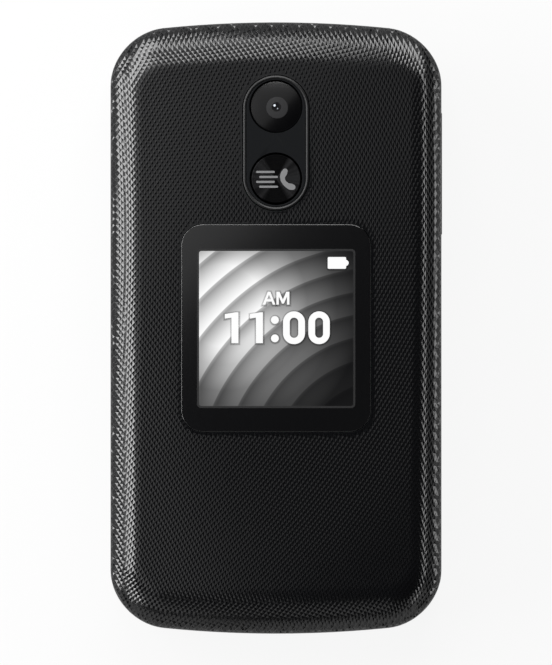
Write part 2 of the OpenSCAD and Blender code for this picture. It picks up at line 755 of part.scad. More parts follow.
module rearHollows() {
    // Space for the board and what hangs below it
    difference() {
        union() {
            plate(outline(wall, wall), rear_floor_z, base_seam);
            intersection() {
                plate(outline(3.5, 3.5), door_t + door_gap, 3);
                block([-body_w, door_y + 1.5, 0], [body_w, body_l, base_t]);
            }
        }
        hingeRod(recess_r + wall, -body_w, body_w);
        roundBosses(base_screw_places, 0, board_z - 0.05, base_boss_r);
        // Walls of the battery's well
        difference() {
            translate([0, battery_y, 0]) slab(battery_w + 2 * (well_gap + well_wall),
                battery_l + 2 * (well_gap + well_wall), 1.5, 0, board_z - 0.1);
            translate([0, battery_y, 0])
                slab(battery_w + 2 * well_gap, battery_l + 2 * well_gap, 1, -eps, base_t);
            block([-contacts_w / 2 - 0.2, battery_y, rear_floor_z + 0.1],
                [contacts_w / 2 + 0.2, door_y, base_t]);
        }
        // Cradle of the vibration motor
        difference() {
            block([motor_x + 2, motor_y - motor_r - 0.6, 0],
                [motor_x + 7, motor_y + motor_r + 0.6, motor_z - 0.4]);
            translate([0, motor_y, motor_z]) rotate([0, 90, 0]) cylinder(r = motor_r + rest_gap, h = body_w);
        }
    }
}

module base_rear_housing() color(shell_colour) difference() {
    union() {
        difference() {
            skin(backRings());
            rearHollows();
            hingeRod(recess_r, -body_w, body_w);
            block([-body_w, base_end_y, -eps], [body_w, body_l, base_t]);
        }
        intersection() {
            difference() {
                barrelWeb(3.5, base_seam);
                hingeRod(barrel_r + 0.05, -body_w, body_w);
            }
            hingeRod(recess_r + wall, -body_w, body_w);
        }
    }
    // Room for the battery door, its hooks and the battery
    block([-body_w, -body_l, -eps], [body_w, door_y + door_gap, door_t + door_gap]);
    translate([0, battery_y, 0])
        slab(battery_w + 2 * well_gap, battery_l + 2 * well_gap, 1, 0, rear_floor_z + eps);
    for (p = hook_places) translate([p[0], p[1], 0]) {
        near = -hook_l / 2 - door_travel - hook_gap;
        stem = hook_stem / 2 + 0.2;
        head = hook_w / 2 + hook_gap;
        block([-stem, near, door_t], [stem, hook_l / 2 + 0.2, base_seam - 1]);
        block([-head, near, door_t + hook_h - hook_t - 0.1], [head, hook_l / 2 + 0.2, base_seam - 1]);
        block([-head, near, door_t], [head, hook_l / 2 - door_travel + 0.2, base_seam - 1]);
    }
    // Screws
    roundBosses(base_screw_places, -eps, base_head_z + head_h + eps, head_r + fit);
    roundBosses(base_screw_places, 0, base_seam, screw_r + fit);
    // Headphone socket and charging port
    translate([-jack_x, foot_y, jack_z]) rotate([-90, 0, 0]) cylinder(r = jack_collar_r + fit, h = 3);
    block([-jack_x - jack_body_w / 2 - fit, jack_mouth_y + 1, door_t],
        [-jack_x + jack_body_w / 2 + fit, jack_mouth_y + jack_depth + 1.2, base_seam - 0.2]);
    translate([0, foot_y - eps, usb_z]) rotate([-90, 0, 0]) linear_extrude(eps + wall + 1)
        polygon(rounded(usb_w + 2 * fit, usb_h + 2 * fit, usb_h / 2));
    // Volume rocker: its slot in the wall, and room for its flange behind the wall
    translate([side_x - wall - eps, rocker_y, rocker_z]) rotate([90, 0, 90]) linear_extrude(wall + 2 * eps)
        polygon(rounded(rocker_l + 2 * switch_room, rocker_w + 2 * switch_room, rocker_w / 2));
    translate([rocker_pivot_x - 1, rocker_y, rocker_z]) rotate([90, 0, 90])
        linear_extrude(side_x - wall - rocker_pivot_x + 1)
            polygon(rounded(rocker_flange_l + 2 * switch_room, rocker_flange_w + 2 * switch_room, 1.1));
    // Loudspeaker grille
    for (i = [-2:2], j = [-1:1]) translate([speaker_x + grille_pitch * i, speaker_y + grille_pitch * j, -eps])
        cylinder(r = grille_r, h = rear_floor_z + 2 * eps);
}

module battery_door() color(shell_colour) {
    intersection() {
        skin(backRings());
        block([-body_w, -body_l, -eps], [body_w, door_y, door_t]);
    }
    // Hooks that run under the shell's ledges
    for (p = hook_places) translate([p[0], p[1], 0]) {
        block([-hook_stem / 2, -hook_l / 2, door_t - 0.2], [hook_stem / 2, hook_l / 2, door_t + hook_h]);
        block([-hook_w / 2, -hook_l / 2, door_t + hook_h - hook_t],
            [hook_w / 2, hook_l / 2, door_t + hook_h]);
    }
}

module battery() color("#3f4247") translate([0, battery_y, 0])
    slab(battery_w, battery_l, 1, battery_z, battery_t);

module main_pcb() color(board_colour) difference() {
    intersection() {
        plate(outline(2.6, 2.6), board_z, board_t);
        block([-body_w, -body_l, 0], [body_w, hinge_y - recess_r - wall - 0.4, base_t]);
    }
    roundBosses(base_screw_places, 0, base_t, screw_r + fit);
}

module padPlate(z, t) difference() {
    translate([0, (pad_from + pad_to) / 2, 0]) slab(pad_w, pad_to - pad_from, 4, z, t);
    roundBosses(base_screw_places, 0, base_t, base_boss_r - 0.4);
}

module dome_sheet() color(metal_colour) {
    padPlate(board_top, 0.1);
    for (p = dome_places) translate([p[0], p[1], board_top])
        cylinder(r1 = dome_r, r2 = dome_top_r, h = dome_top - board_top);
}

module keypad_mat() color(rubber_colour) {
    padPlate(mat_z, mat_t);
    for (p = dome_places) translate([p[0], p[1], dome_top + fixed_fit])
        cylinder(r = plunger_r, h = mat_z - dome_top + 0.05);
}

module keyBody(w, h, r) {
    slab(w + 2 * key_flange, h + 2 * key_flange, r + key_flange, key_z, key_flange_t);
    slab(w, h, r, key_z, key_top - key_z - key_step);
    slab(w - 2 * key_step, h - 2 * key_step, r - key_step, key_z, key_top - key_z);
}

module digitKey(i) color(key_colour) translate(digitPlace(i)) keyBody(key_w, key_h, key_r);

module sideKey(x, y) color(key_colour) translate([x, y, 0]) keyBody(side_key_w, side_key_h, key_r);

module clear_key() color(key_colour) translate([0, clear_y, 0]) keyBody(clear_w, clear_h, key_r);

module nav_ring() color(metal_colour) translate([0, nav_y, 0]) difference() {
    union() {
        translate([0, 0, key_z]) cylinder(r = nav_r + key_flange, h = key_flange_t - 0.05);
        translate([0, 0, key_z]) cylinder(r = nav_r, h = key_top - key_z - key_step);
        translate([0, 0, key_z]) cylinder(r = nav_r - key_step, h = key_top - key_z);
    }
    translate([0, 0, key_z - eps]) cylinder(r = nav_bore, h = 3);
}

module ok_key() color(key_colour) translate([0, nav_y, key_z]) {
    cylinder(r = ok_r, h = key_top - key_z - key_step);
    cylinder(r = ok_r - key_step, h = key_top - key_z);
}

module shield_can() color(metal_colour) difference() {
    block([shield_x, low_parts_y, can_low_z],
        [shield_x + shield_w, low_parts_y + shield_l, board_z - rest_gap]);
    block([shield_x + shield_wall, low_parts_y + shield_wall, can_low_z + shield_wall],
        [shield_x + shield_w - shield_wall, low_parts_y + shield_l - shield_wall, board_z]);
}

module card_socket() color(metal_colour) difference() {
    card_z = can_low_z + 0.2;
    block([card_x, low_parts_y, card_z], [card_x + card_w, low_parts_y + card_l, board_z - rest_gap]);
    for (x = [card_x + card_wall, card_x + card_w - card_wall - card_slot_w])
        translate([x, low_parts_y - 1, card_z + 0.3]) cube([card_slot_w, card_l, card_slot_h]);
}

module battery_contacts() color("#c9a24a") {
    block([-contacts_w / 2, battery_end + well_gap + well_wall + fit, rear_floor_z + 0.2],
        [contacts_w / 2, battery_end + contacts_l, board_z - rest_gap]);
    for (i = [-1:1]) translate([i * contacts_w / 3, battery_end, rear_floor_z])
        block([-0.4, rest_gap, 0.9], [0.4, contacts_l / 2, 1.9]);
}

module usb_port() color(metal_colour) translate([0, usb_mouth_y, usb_z]) rotate([-90, 0, 0]) {
    difference() {
        linear_extrude(usb_depth) polygon(rounded(usb_w, usb_h, usb_h / 2 - 0.01));
        translate([0, 0, -eps]) linear_extrude(usb_depth - 1 + eps)
            polygon(rounded(usb_w - 2 * usb_wall, usb_h - 2 * usb_wall, usb_h / 2 - usb_wall - 0.01));
    }
    translate([-usb_w * 0.37, -0.35, 0.8]) cube([usb_w * 0.74, 0.7, usb_depth - 1]);
}

module headphone_jack() color("#1d1e20") translate([-jack_x, jack_mouth_y, jack_z]) rotate([-90, 0, 0])
    difference() {
        union() {
            cylinder(r = jack_collar_r, h = jack_collar_l);
            translate([-jack_body_w / 2, -jack_body_h / 2, jack_collar_l - 0.4])
                cube([jack_body_w, jack_body_h, jack_depth - 0.1]);
        }
        translate([0, 0, -eps]) cylinder(r = jack_r, h = jack_depth + eps);
    }

module microphone() color(metal_colour) difference() {
    block([mic_x - 2, mic_y - 1.4, board_top], [mic_x + 2, mic_y + 1.4, board_top + 1]);
    translate([mic_x, mic_y, board_top + 0.6]) cylinder(r = 0.4, h = 1);
}

module vibration_motor() color(metal_colour) translate([motor_x, motor_y, motor_z]) rotate([0, 90, 0]) {
    cylinder(r = motor_r, h = motor_l);
    translate([0, 0, weight_x - motor_x - 0.2]) cylinder(r = motor_shaft_r, h = 4);
}

module vibration_weight() color("#6b6d70") translate([weight_x, motor_y, motor_z]) rotate([0, 90, 0])
    difference() {
        intersection() {
            cylinder(r = weight_r, h = weight_l);
            translate([-0.7, -weight_r - 1, -eps]) cube([weight_r + 2, 2 * weight_r + 2, weight_l + 1]);
        }
        translate([0, 0, -eps]) cylinder(r = motor_shaft_r + run_fit, h = weight_l + 1);
    }

module loudspeaker() color(metal_colour) translate([speaker_x, speaker_y, 0]) {
    slab(speaker_w, speaker_l, 2, door_t + 2 * door_gap, speaker_t);
    slab(speaker_w - 4, speaker_l - 4, 2, door_t + 2 * door_gap, speaker_t + 0.2);
}

module volume_rocker() color("#2a2b2e") {
    translate([rocker_pivot_x, rocker_y, rocker_z]) rotate([90, 0, 90]) {
        linear_extrude(side_x + rocker_out - rocker_pivot_x)
            polygon(rounded(rocker_l, rocker_w, rocker_w / 2 - 0.01));
        translate([0, 0, -rocker_flange_in]) linear_extrude(rocker_flange_t)
            polygon(rounded(rocker_flange_l, rocker_flange_w, 1));
    }
    pad_x = rocker_pivot_x - rocker_pad_l - switch_room;
    for (s = [-1, 1]) translate([pad_x, rocker_y + rocker_pad_y * s, rocker_z]) rotate([0, 90, 0])
        cylinder(r = 0.9, h = rocker_pad_l);
}

module volume_switches() color(board_colour) {
    translate([rocker_pivot_x - 2.5, rocker_y, rocker_z])
        block([0, -rocker_pad_y - 2, -1.5], [0.4, rocker_pad_y + 2, board_z - rest_gap - rocker_z]);
    for (s = [-1, 1]) translate([rocker_pivot_x - 2.2, rocker_y + rocker_pad_y * s, rocker_z])
        block([0, -1.7, -1.3], [1.1, 1.7, 1.3]);
}

module base_screws() color(metal_colour) screwSet(base_screw_places, base_head_z, base_screw_tip);

lid_outer_cover();
lid_inner_frame();
main_display_window();
main_display_module();
sub_display_window();
sub_display_module();
camera_trim();
camera_window();
camera_module();
call_key();
lid_pcb();
earpiece();
earpiece_mesh();
lid_magnet();
lid_bumpers();
lid_screws();
lid_flex();
hinge_can();
hinge_spring();
hinge_cam();
hinge_shaft();
hinge_bushing();
base_front_housing();
base_rear_housing();
battery_door();
battery();
main_pcb();
keypad_mat();
dome_sheet();
shield_can();
card_socket();
battery_contacts();
usb_port();
headphone_jack();
microphone();
vibration_motor();
vibration_weight();
loudspeaker();
volume_rocker();
volume_switches();
base_screws();
digitKey(0);  // key_1
digitKey(1);  // key_2
digitKey(2);  // key_3
digitKey(3);  // key_4
digitKey(4);  // key_5
digitKey(5);  // key_6
digitKey(6);  // key_7
digitKey(7);  // key_8
digitKey(8);  // key_9
digitKey(9);  // key_star
digitKey(10);  // key_0
digitKey(11);  // key_hash
nav_ring();
ok_key();
sideKey(-key_x_side, soft_y);  // left_soft_key
sideKey(key_x_side, soft_y);  // right_soft_key
sideKey(-key_x_side, send_y);  // send_key
sideKey(key_x_side, send_y);  // end_key
clear_key();
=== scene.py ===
import json
import math

import bmesh
import bpy
import numpy as np
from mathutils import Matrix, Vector
from mathutils.geometry import delaunay_2d_cdt

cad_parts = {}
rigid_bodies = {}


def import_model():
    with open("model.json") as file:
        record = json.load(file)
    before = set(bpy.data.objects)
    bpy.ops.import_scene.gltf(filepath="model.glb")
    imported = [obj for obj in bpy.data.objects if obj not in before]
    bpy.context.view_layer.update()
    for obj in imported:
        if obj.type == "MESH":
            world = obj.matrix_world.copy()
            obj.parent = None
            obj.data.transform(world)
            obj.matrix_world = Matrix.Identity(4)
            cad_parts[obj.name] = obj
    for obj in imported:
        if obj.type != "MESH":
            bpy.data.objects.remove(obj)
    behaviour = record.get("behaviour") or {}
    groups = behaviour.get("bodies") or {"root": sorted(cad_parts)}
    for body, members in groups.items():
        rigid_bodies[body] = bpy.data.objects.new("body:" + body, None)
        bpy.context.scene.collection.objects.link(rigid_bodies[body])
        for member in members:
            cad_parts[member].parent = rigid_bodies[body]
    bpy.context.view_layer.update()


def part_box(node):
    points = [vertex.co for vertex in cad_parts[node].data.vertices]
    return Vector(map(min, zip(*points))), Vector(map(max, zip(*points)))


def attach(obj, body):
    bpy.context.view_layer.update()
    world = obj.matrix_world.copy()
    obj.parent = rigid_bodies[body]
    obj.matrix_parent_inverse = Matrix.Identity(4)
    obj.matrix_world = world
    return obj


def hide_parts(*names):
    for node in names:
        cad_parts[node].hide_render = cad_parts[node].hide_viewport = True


for leftover in list(bpy.data.objects):
    bpy.data.objects.remove(leftover)
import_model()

# Lengths are in millimetres all through; they turn into metres where a mesh is made.
metre = 0.001
phone = {"width": 59.0, "length": 109.0, "cornerRadius": 9.5, "endBow": 2.2}


def nodeBox(node):
    low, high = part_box(node)
    low, high = low / metre, high / metre
    return {"low": low, "high": high, "centre": (low + high) / 2, "size": high - low}


def roundedLoop(width, length, radius, centre=(0, 0), steps=10):
    # Rounded rectangle, counter-clockwise from the right side
    radius = min(radius, width / 2 - 0.001, length / 2 - 0.001)
    points = []
    for corner, (sx, sy) in enumerate([(1, 1), (-1, 1), (-1, -1), (1, -1)]):
        for i in range(steps + 1):
            a = math.radians(90 * corner + 90 * i / steps)
            points.append((centre[0] + sx * (width / 2 - radius) + radius * math.cos(a),
                           centre[1] + sy * (length / 2 - radius) + radius * math.sin(a)))
    return points


def circleLoop(radius, centre=(0, 0), steps=64):
    return [(centre[0] + radius * math.cos(2 * math.pi * i / steps),
             centre[1] + radius * math.sin(2 * math.pi * i / steps)) for i in range(steps)]


def bowFactor(x):
    # How far the bowed ends have fallen back at this distance from the middle
    return 1 - phone["endBow"] / (phone["length"] / 2) * (x / (phone["width"] / 2)) ** 2


def outlineLoop(sideInset, endInset, steps=14):
    radius = max(1.0, phone["cornerRadius"] - min(sideInset, endInset))
    width, length = phone["width"] - 2 * sideInset, phone["length"] - 2 * endInset
    points = []
    for corner, (sx, sy) in enumerate([(1, 1), (-1, 1), (-1, -1), (1, -1)]):
        for i in range(steps + 1):
            a = math.radians(90 * corner + 90 * i / steps)
            points.append((sx * (width / 2 - radius) + radius * math.cos(a),
                           sy * (length / 2 - radius) + radius * math.sin(a)))
        if corner in (0, 2):
            across = width / 2 - radius
            points += [(sx * across * (1 - i / 6), sy * length / 2) for i in range(1, 12)]
    return [(x, y * bowFactor(x)) for x, y in points]


def newMesh(name, points, faces, smooth=True):
    mesh = bpy.data.meshes.new(name)
    mesh.from_pydata([Vector(p) * metre for p in points], [], faces)
    mesh.validate()
    bm = bmesh.new()
    bm.from_mesh(mesh)
    bmesh.ops.recalc_face_normals(bm, faces=bm.faces)
    bm.to_mesh(mesh)
    bm.free()
    for polygon in mesh.polygons:
        polygon.use_smooth = smooth
    piece = bpy.data.objects.new(name, mesh)
    bpy.context.scene.collection.objects.link(piece)
    return piece


def finishPiece(piece, material, body, nodes=(), sharpAngle=None):
    piece.data.materials.clear()
    piece.data.materials.append(material)
    if sharpAngle is not None:
        bpy.ops.object.select_all(action="DESELECT")
        piece.select_set(True)
        bpy.context.view_layer.objects.active = piece
        bpy.ops.object.shade_smooth_by_angle(angle=math.radians(sharpAngle))
        for polygon in piece.data.polygons:
            if abs(polygon.normal.z) > 0.9999 and polygon.area > 0.5 * metre * metre:
                polygon.use_smooth = False
    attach(piece, body)
    if nodes:
        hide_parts(*nodes)
    return piece


def loft(rings, closeStart=True, closeEnd=True, wrap=False):
    # Skin over rings of equal length; the ends are closed by one face each
    count = len(rings[0])
    points = [p for ring in rings for p in ring]
    faces = []
    spans = len(rings) if wrap else len(rings) - 1
    for k in range(spans):
        a, b = k * count, (k + 1) % len(rings) * count
        for i in range(count):
            j = (i + 1) % count
            faces.append((a + i, a + j, b + j, b + i))
    if closeStart and not wrap:
        faces.append(tuple(range(count))[::-1])
    if closeEnd and not wrap:
        faces.append(tuple((len(rings) - 1) * count + i for i in range(count)))
    return points, faces


def lathe(profile, centre=(0, 0), steps=72, closed=False):
    # Profile of (radius, height) pairs turned about a vertical line
    rings = []
    for radius, z in profile:
        rings.append([(centre[0] + radius * math.cos(2 * math.pi * i / steps),
                       centre[1] + radius * math.sin(2 * math.pi * i / steps), z) for i in range(steps)])
    return loft(rings, wrap=closed)


def quarterTurn(steps, first=1):
    # Along a rounded edge: how far it has come in, and how far it has still to climb
    turns = [math.radians(90 * k / steps) for k in range(first, steps + 1)]
    return [(1 - math.cos(a), 1 - math.sin(a)) for a in turns]


def joined(*parts):
    points, faces = [], []
    for morePoints, moreFaces in parts:
        start = len(points)
        points += list(morePoints)
        faces += [tuple(start + i for i in face) for face in moreFaces]
    return points, faces


# Effects that several finishes share are node groups.
def nodeGroup(name, inputs, outputs):
    group = bpy.data.node_groups.new(name, "ShaderNodeTree")
    for label, value in inputs:
        socket = group.interface.new_socket(name=label, in_out="INPUT", socket_type="NodeSocketFloat")
        socket.default_value = value
    for label, kind in outputs:
        group.interface.new_socket(name=label, in_out="OUTPUT", socket_type=kind)
    return group, group.nodes.new("NodeGroupInput"), group.nodes.new("NodeGroupOutput")


def addNode(tree, kind, **values):
    node = tree.nodes.new(kind)
    for key, value in values.items():
        if key in node.inputs:
            node.inputs[key].default_value = value
        else:
            setattr(node, key, value)
    return node


def mathNode(tree, operation, first, second):
    node = addNode(tree, "ShaderNodeMath", operation=operation)
    for socket, value in zip(node.inputs, (first, second)):
        if isinstance(value, (int, float)):
            socket.default_value = value
        else:
            tree.links.new(value, socket)
    return node.outputs[0]


def ramp(tree, factor, stops):
    node = tree.nodes.new("ShaderNodeValToRGB")
    while len(node.color_ramp.elements) < len(stops):
        node.color_ramp.elements.new(0.5)
    for element, (position, colour) in zip(node.color_ramp.elements, stops):
        element.position = position
        element.color = (*colour, 1) if len(colour) == 3 else colour
    tree.links.new(factor, node.inputs["Fac"])
    return node.outputs["Color"]


def makeMouldGrain():
    # Fine grain of moulded plastic, with slow shifts of tone across the part
    group, inputs, outputs = nodeGroup("mouldGrain", [("Scale", 6000.0), ("Drift", 0.3)],
                                       [("Height", "NodeSocketFloat"), ("Tone", "NodeSocketFloat")])
    place = addNode(group, "ShaderNodeTexCoord")
    fine = addNode(group, "ShaderNodeTexNoise", Detail=2.0, Roughness=0.6)
    slow = addNode(group, "ShaderNodeTexNoise", Scale=60.0, Detail=3.0)
    group.links.new(place.outputs["Object"], fine.inputs["Vector"])
    group.links.new(place.outputs["Object"], slow.inputs["Vector"])
    group.links.new(inputs.outputs["Scale"], fine.inputs["Scale"])
    group.links.new(fine.outputs["Fac"], outputs.inputs["Height"])
    centred = mathNode(group, "SUBTRACT", slow.outputs["Fac"], 0.5)
    swing = mathNode(group, "MULTIPLY", centred, inputs.outputs["Drift"])
    group.links.new(mathNode(group, "ADD", swing, 0.5), outputs.inputs["Tone"])
    return group


def makeFineScratches():
    # Hairline marks and handling haze, used on glass, gloss and metal
    group, inputs, outputs = nodeGroup("fineScratches",
                                       [("Scale", 300.0), ("Stretch", 30.0), ("Amount", 0.3)],
                                       [("Mask", "NodeSocketFloat")])
    place = addNode(group, "ShaderNodeTexCoord")
    combine = addNode(group, "ShaderNodeCombineXYZ", Y=1.0, Z=1.0)
    group.links.new(inputs.outputs["Stretch"], combine.inputs["X"])
    stretched = addNode(group, "ShaderNodeVectorMath", operation="MULTIPLY")
    group.links.new(place.outputs["Object"], stretched.inputs[0])
    group.links.new(combine.outputs["Vector"], stretched.inputs[1])
    streaks = addNode(group, "ShaderNodeTexNoise", Detail=4.0, Roughness=0.7)
    group.links.new(stretched.outputs["Vector"], streaks.inputs["Vector"])
    group.links.new(inputs.outputs["Scale"], streaks.inputs["Scale"])
    group.links.new(mathNode(group, "MULTIPLY", streaks.outputs["Fac"], inputs.outputs["Amount"]),
                    outputs.inputs["Mask"])
    return group


def makeEdgeWear():
    # Edges that hands and pockets have rubbed a little lighter
    group, inputs, outputs = nodeGroup("edgeWear", [("Radius", 0.0003), ("Amount", 0.5)],
                                       [("Mask", "NodeSocketFloat")])
    flat = addNode(group, "ShaderNodeNewGeometry")
    rounded = addNode(group, "ShaderNodeBevel", samples=4)
    group.links.new(inputs.outputs["Radius"], rounded.inputs["Radius"])
    turn = addNode(group, "ShaderNodeVectorMath", operation="DOT_PRODUCT")
    group.links.new(flat.outputs["Normal"], turn.inputs[0])
    group.links.new(rounded.outputs["Normal"], turn.inputs[1])
    bend = mathNode(group, "SUBTRACT", 1.0, turn.outputs["Value"])
    patches = addNode(group, "ShaderNodeTexNoise", Scale=400.0, Detail=3.0)
    worn = mathNode(group, "MULTIPLY", mathNode(group, "MULTIPLY", bend, 6.0), patches.outputs["Fac"])
    strength = mathNode(group, "MULTIPLY", worn, inputs.outputs["Amount"])
    group.links.new(mathNode(group, "MINIMUM", strength, 1.0), outputs.inputs["Mask"])
    return group


mouldGrain = makeMouldGrain()
fineScratches = makeFineScratches()
edgeWear = makeEdgeWear()


def newMaterial(name):
    material = bpy.data.materials.new(name)
    material.use_nodes = True
    tree = material.node_tree
    return material, tree, tree.nodes["Principled BSDF"]


def placeGroup(tree, group, **values):
    node = tree.nodes.new("ShaderNodeGroup")
    node.node_tree = group
    for key, value in values.items():
        node.inputs[key].default_value = value
    return node


def mixColours(tree, factor, first, second):
    node = addNode(tree, "ShaderNodeMix", data_type="RGBA")
    sockets = (node.inputs["Factor"], node.inputs[6], node.inputs[7])
    for socket, value in zip(sockets, (factor, first, second)):
        if isinstance(value, (int, float)):
            socket.default_value = value
        elif isinstance(value, tuple):
            socket.default_value = (*value, 1) if len(value) == 3 else value
        else:
            tree.links.new(value, socket)
    return node.outputs[2]


def addBump(tree, shader, height, distance, strength=1.0):
    bump = addNode(tree, "ShaderNodeBump", Strength=strength, Distance=distance * metre)
    tree.links.new(height, bump.inputs["Height"])
    tree.links.new(bump.outputs["Normal"], shader.inputs["Normal"])


def mapRange(tree, value, low, high):
    node = addNode(tree, "ShaderNodeMapRange")
    tree.links.new(value, node.inputs["Value"])
    node.inputs["To Min"].default_value = low
    node.inputs["To Max"].default_value = high
    return node.outputs["Result"]


def mouldedPlastic(name, colour, worn, roughness, grainScale=6000.0, grainDepth=0.004, wear=0.4, gloss=0.5):
    # Satin moulded shell: grain, slow drift of tone, rubbed edges
    material, tree, shader = newMaterial(name)
    grain = placeGroup(tree, mouldGrain, Scale=grainScale)
    edges = placeGroup(tree, edgeWear, Amount=wear)
    dark = tuple(c * 0.8 for c in colour)
    light = tuple(c * 1.2 for c in colour)
    body = mixColours(tree, grain.outputs["Tone"], dark, light)
    tree.links.new(mixColours(tree, edges.outputs["Mask"], body, worn), shader.inputs["Base Color"])
    tree.links.new(mapRange(tree, grain.outputs["Height"], roughness - 0.06, roughness + 0.06),
                   shader.inputs["Roughness"])
    shader.inputs["Specular IOR Level"].default_value = gloss
    addBump(tree, shader, grain.outputs["Height"], grainDepth)
    return material


def brushedMetal(name, colour, roughness, stretch=40.0, scale=200.0, metallic=1.0):
    material, tree, shader = newMaterial(name)
    streaks = placeGroup(tree, fineScratches, Scale=scale, Stretch=stretch, Amount=1.0)
    edges = placeGroup(tree, edgeWear, Amount=0.5)
    dark = tuple(c * 0.75 for c in colour)
    body = mixColours(tree, streaks.outputs["Mask"], dark, colour)
    bright = tuple(min(1.0, c * 1.3) for c in colour)
    tree.links.new(mixColours(tree, edges.outputs["Mask"], body, bright), shader.inputs["Base Color"])
    shader.inputs["Metallic"].default_value = metallic
    tree.links.new(mapRange(tree, streaks.outputs["Mask"], roughness - 0.08, roughness + 0.1),
                   shader.inputs["Roughness"])
    addBump(tree, shader, streaks.outputs["Mask"], 0.003)
    return material


def glossBlack(name, colour, roughness, haze=0.05, gloss=0.5, ior=1.5):
    material, tree, shader = newMaterial(name)
    marks = placeGroup(tree, fineScratches, Scale=500.0, Stretch=12.0, Amount=1.0)
    tree.links.new(mixColours(tree, marks.outputs["Mask"], tuple(c * 0.85 for c in colour), colour),
                   shader.inputs["Base Color"])
    tree.links.new(mapRange(tree, marks.outputs["Mask"], roughness, roughness + haze),
                   shader.inputs["Roughness"])
    shader.inputs["Specular IOR Level"].default_value = gloss
    shader.inputs["IOR"].default_value = ior
    return material


def printedInk(name, colour, worn, gloss=0.5):
    return mouldedPlastic(name, colour, worn, 0.5, grainScale=6000.0, grainDepth=0.001, wear=0.0, gloss=gloss)


print("effects ready")


def meshFromCurve(name, curve, z):
    # The curve is drawn in millimetres and shrinks to metres as a mesh
    holder = bpy.data.objects.new(name, curve)
    bpy.context.scene.collection.objects.link(holder)
    bpy.context.view_layer.update()
    mesh = bpy.data.meshes.new_from_object(holder)
    bpy.data.objects.remove(holder)
    bpy.data.curves.remove(curve)
    for vertex in mesh.vertices:
        vertex.co = (vertex.co.x * metre, vertex.co.y * metre, (vertex.co.z + z) * metre)
    bm = bmesh.new()
    bm.from_mesh(mesh)
    bmesh.ops.remove_doubles(bm, verts=bm.verts, dist=0.000001)
    bmesh.ops.recalc_face_normals(bm, faces=bm.faces)
    bm.to_mesh(mesh)
    bm.free()
    mesh.name = name
    piece = bpy.data.objects.new(name, mesh)
    bpy.context.scene.collection.objects.link(piece)
    return piece


def plate(name, loops, low, high, edge=0.05, edgeSteps=2, grow=0.0):
    # Plate with holes, all its edges eased
    curve = bpy.data.curves.new(name, "CURVE")
    curve.dimensions = "2D"
    curve.fill_mode = "BOTH"
    edge = min(edge, (high - low) / 2 - 0.0005)
    curve.extrude = (high - low) / 2 - edge
    curve.bevel_depth = edge
    curve.bevel_resolution = edgeSteps
    curve.offset = grow - edge
    for loop in loops:
        spline = curve.splines.new("POLY")
        spline.points.add(len(loop) - 1)
        for point, (x, y) in zip(spline.points, loop):
            point.co = (x, y, 0, 1)
        spline.use_cyclic_u = True
    return meshFromCurve(name, curve, (low + high) / 2)


def lettering(name, words, width, height, centre, low, high, spacing=1.0, grow=0.0):
    # Words from the built-in font, fitted to a box
    curve = bpy.data.curves.new(name, "FONT")
    curve.body = words
    curve.size = 10
    curve.space_character = spacing
    curve.extrude = (high - low) / 2
    curve.resolution_u = 4
    curve.offset = grow
    piece = meshFromCurve(name, curve, (low + high) / 2)
    places = [v.co for v in piece.data.vertices]
    left, right = min(p.x for p in places), max(p.x for p in places)
    foot, head = min(p.y for p in places), max(p.y for p in places)
    across = width * metre / (right - left) if width else height * metre / (head - foot)
    upward = height * metre / (head - foot)
    for vertex in piece.data.vertices:
        vertex.co.x = (vertex.co.x - (left + right) / 2) * across + centre[0] * metre
        vertex.co.y = (vertex.co.y - (foot + head) / 2) * upward + centre[1] * metre
    return piece


# The camera looks straight down on the closed phone, framed for an image 552 x 665 in size.
photoView = {"pixel": 0.1783, "rows": 665, "down": 0.8, "height": 400}
cameraData = bpy.data.cameras.new("photoCamera")
cameraData.type = "ORTHO"
cameraData.ortho_scale = photoView["rows"] * photoView["pixel"] * metre
cameraData.clip_end = 20
photoCamera = bpy.data.objects.new("photoCamera", cameraData)
photoCamera.location = (0, -photoView["down"] * metre, photoView["height"] * metre)
bpy.context.scene.collection.objects.link(photoCamera)
bpy.context.scene.camera = photoCamera
bpy.context.scene.view_settings.view_transform = "Standard"


# Lamps: where each stands from the phone, its size, and how bright its face is
lamps = {
    "leftBox": {"side": 168, "lean": 66, "away": 700, "width": 860, "height": 470, "bright": 6.0},
    "farBox": {"side": 90, "lean": 58, "away": 700, "width": 620, "height": 600, "bright": 4.6},
    "rightStrip": {"side": 0, "lean": 80, "away": 700, "width": 700, "height": 190, "bright": 2.4},
    "nearStrip": {"side": 270, "lean": 66, "away": 700, "width": 700, "height": 420, "bright": 0.5},
}
# Soft panels close above the face and level with it: one over the upper left corner, one out to the left
nearPanels = {
    "overPanel": {"x": -64, "y": 64, "z": 112, "turn": -45, "width": 150, "height": 240, "bright": 0.23},
    "sidePanel": {"x": -133, "y": 0, "z": 129, "turn": 0, "width": 124, "height": 260, "bright": 0.60},
}


def addLamp(name, lamp, place, turn):
    light = bpy.data.lights.new(name, "AREA")
    light.shape = "RECTANGLE"
    light.size, light.size_y = lamp["width"] * metre, lamp["height"] * metre
    light.energy = lamp["bright"] * math.pi * light.size * light.size_y
    holder = bpy.data.objects.new(name, light)
    holder.location = place
    holder.rotation_euler = turn
    holder.visible_camera = False
    bpy.context.scene.collection.objects.link(holder)


for name, lamp in lamps.items():
    side, lean = math.radians(lamp["side"]), math.radians(lamp["lean"])
    direction = Vector((math.sin(lean) * math.cos(side), math.sin(lean) * math.sin(side), math.cos(lean)))
    addLamp(name, lamp, direction * lamp["away"] * metre, direction.to_track_quat("Z", "Y").to_euler())
for name, panel in nearPanels.items():
    addLamp(name, panel, (panel["x"] * metre, panel["y"] * metre, panel["z"] * metre),
            (0, 0, math.radians(panel["turn"])))

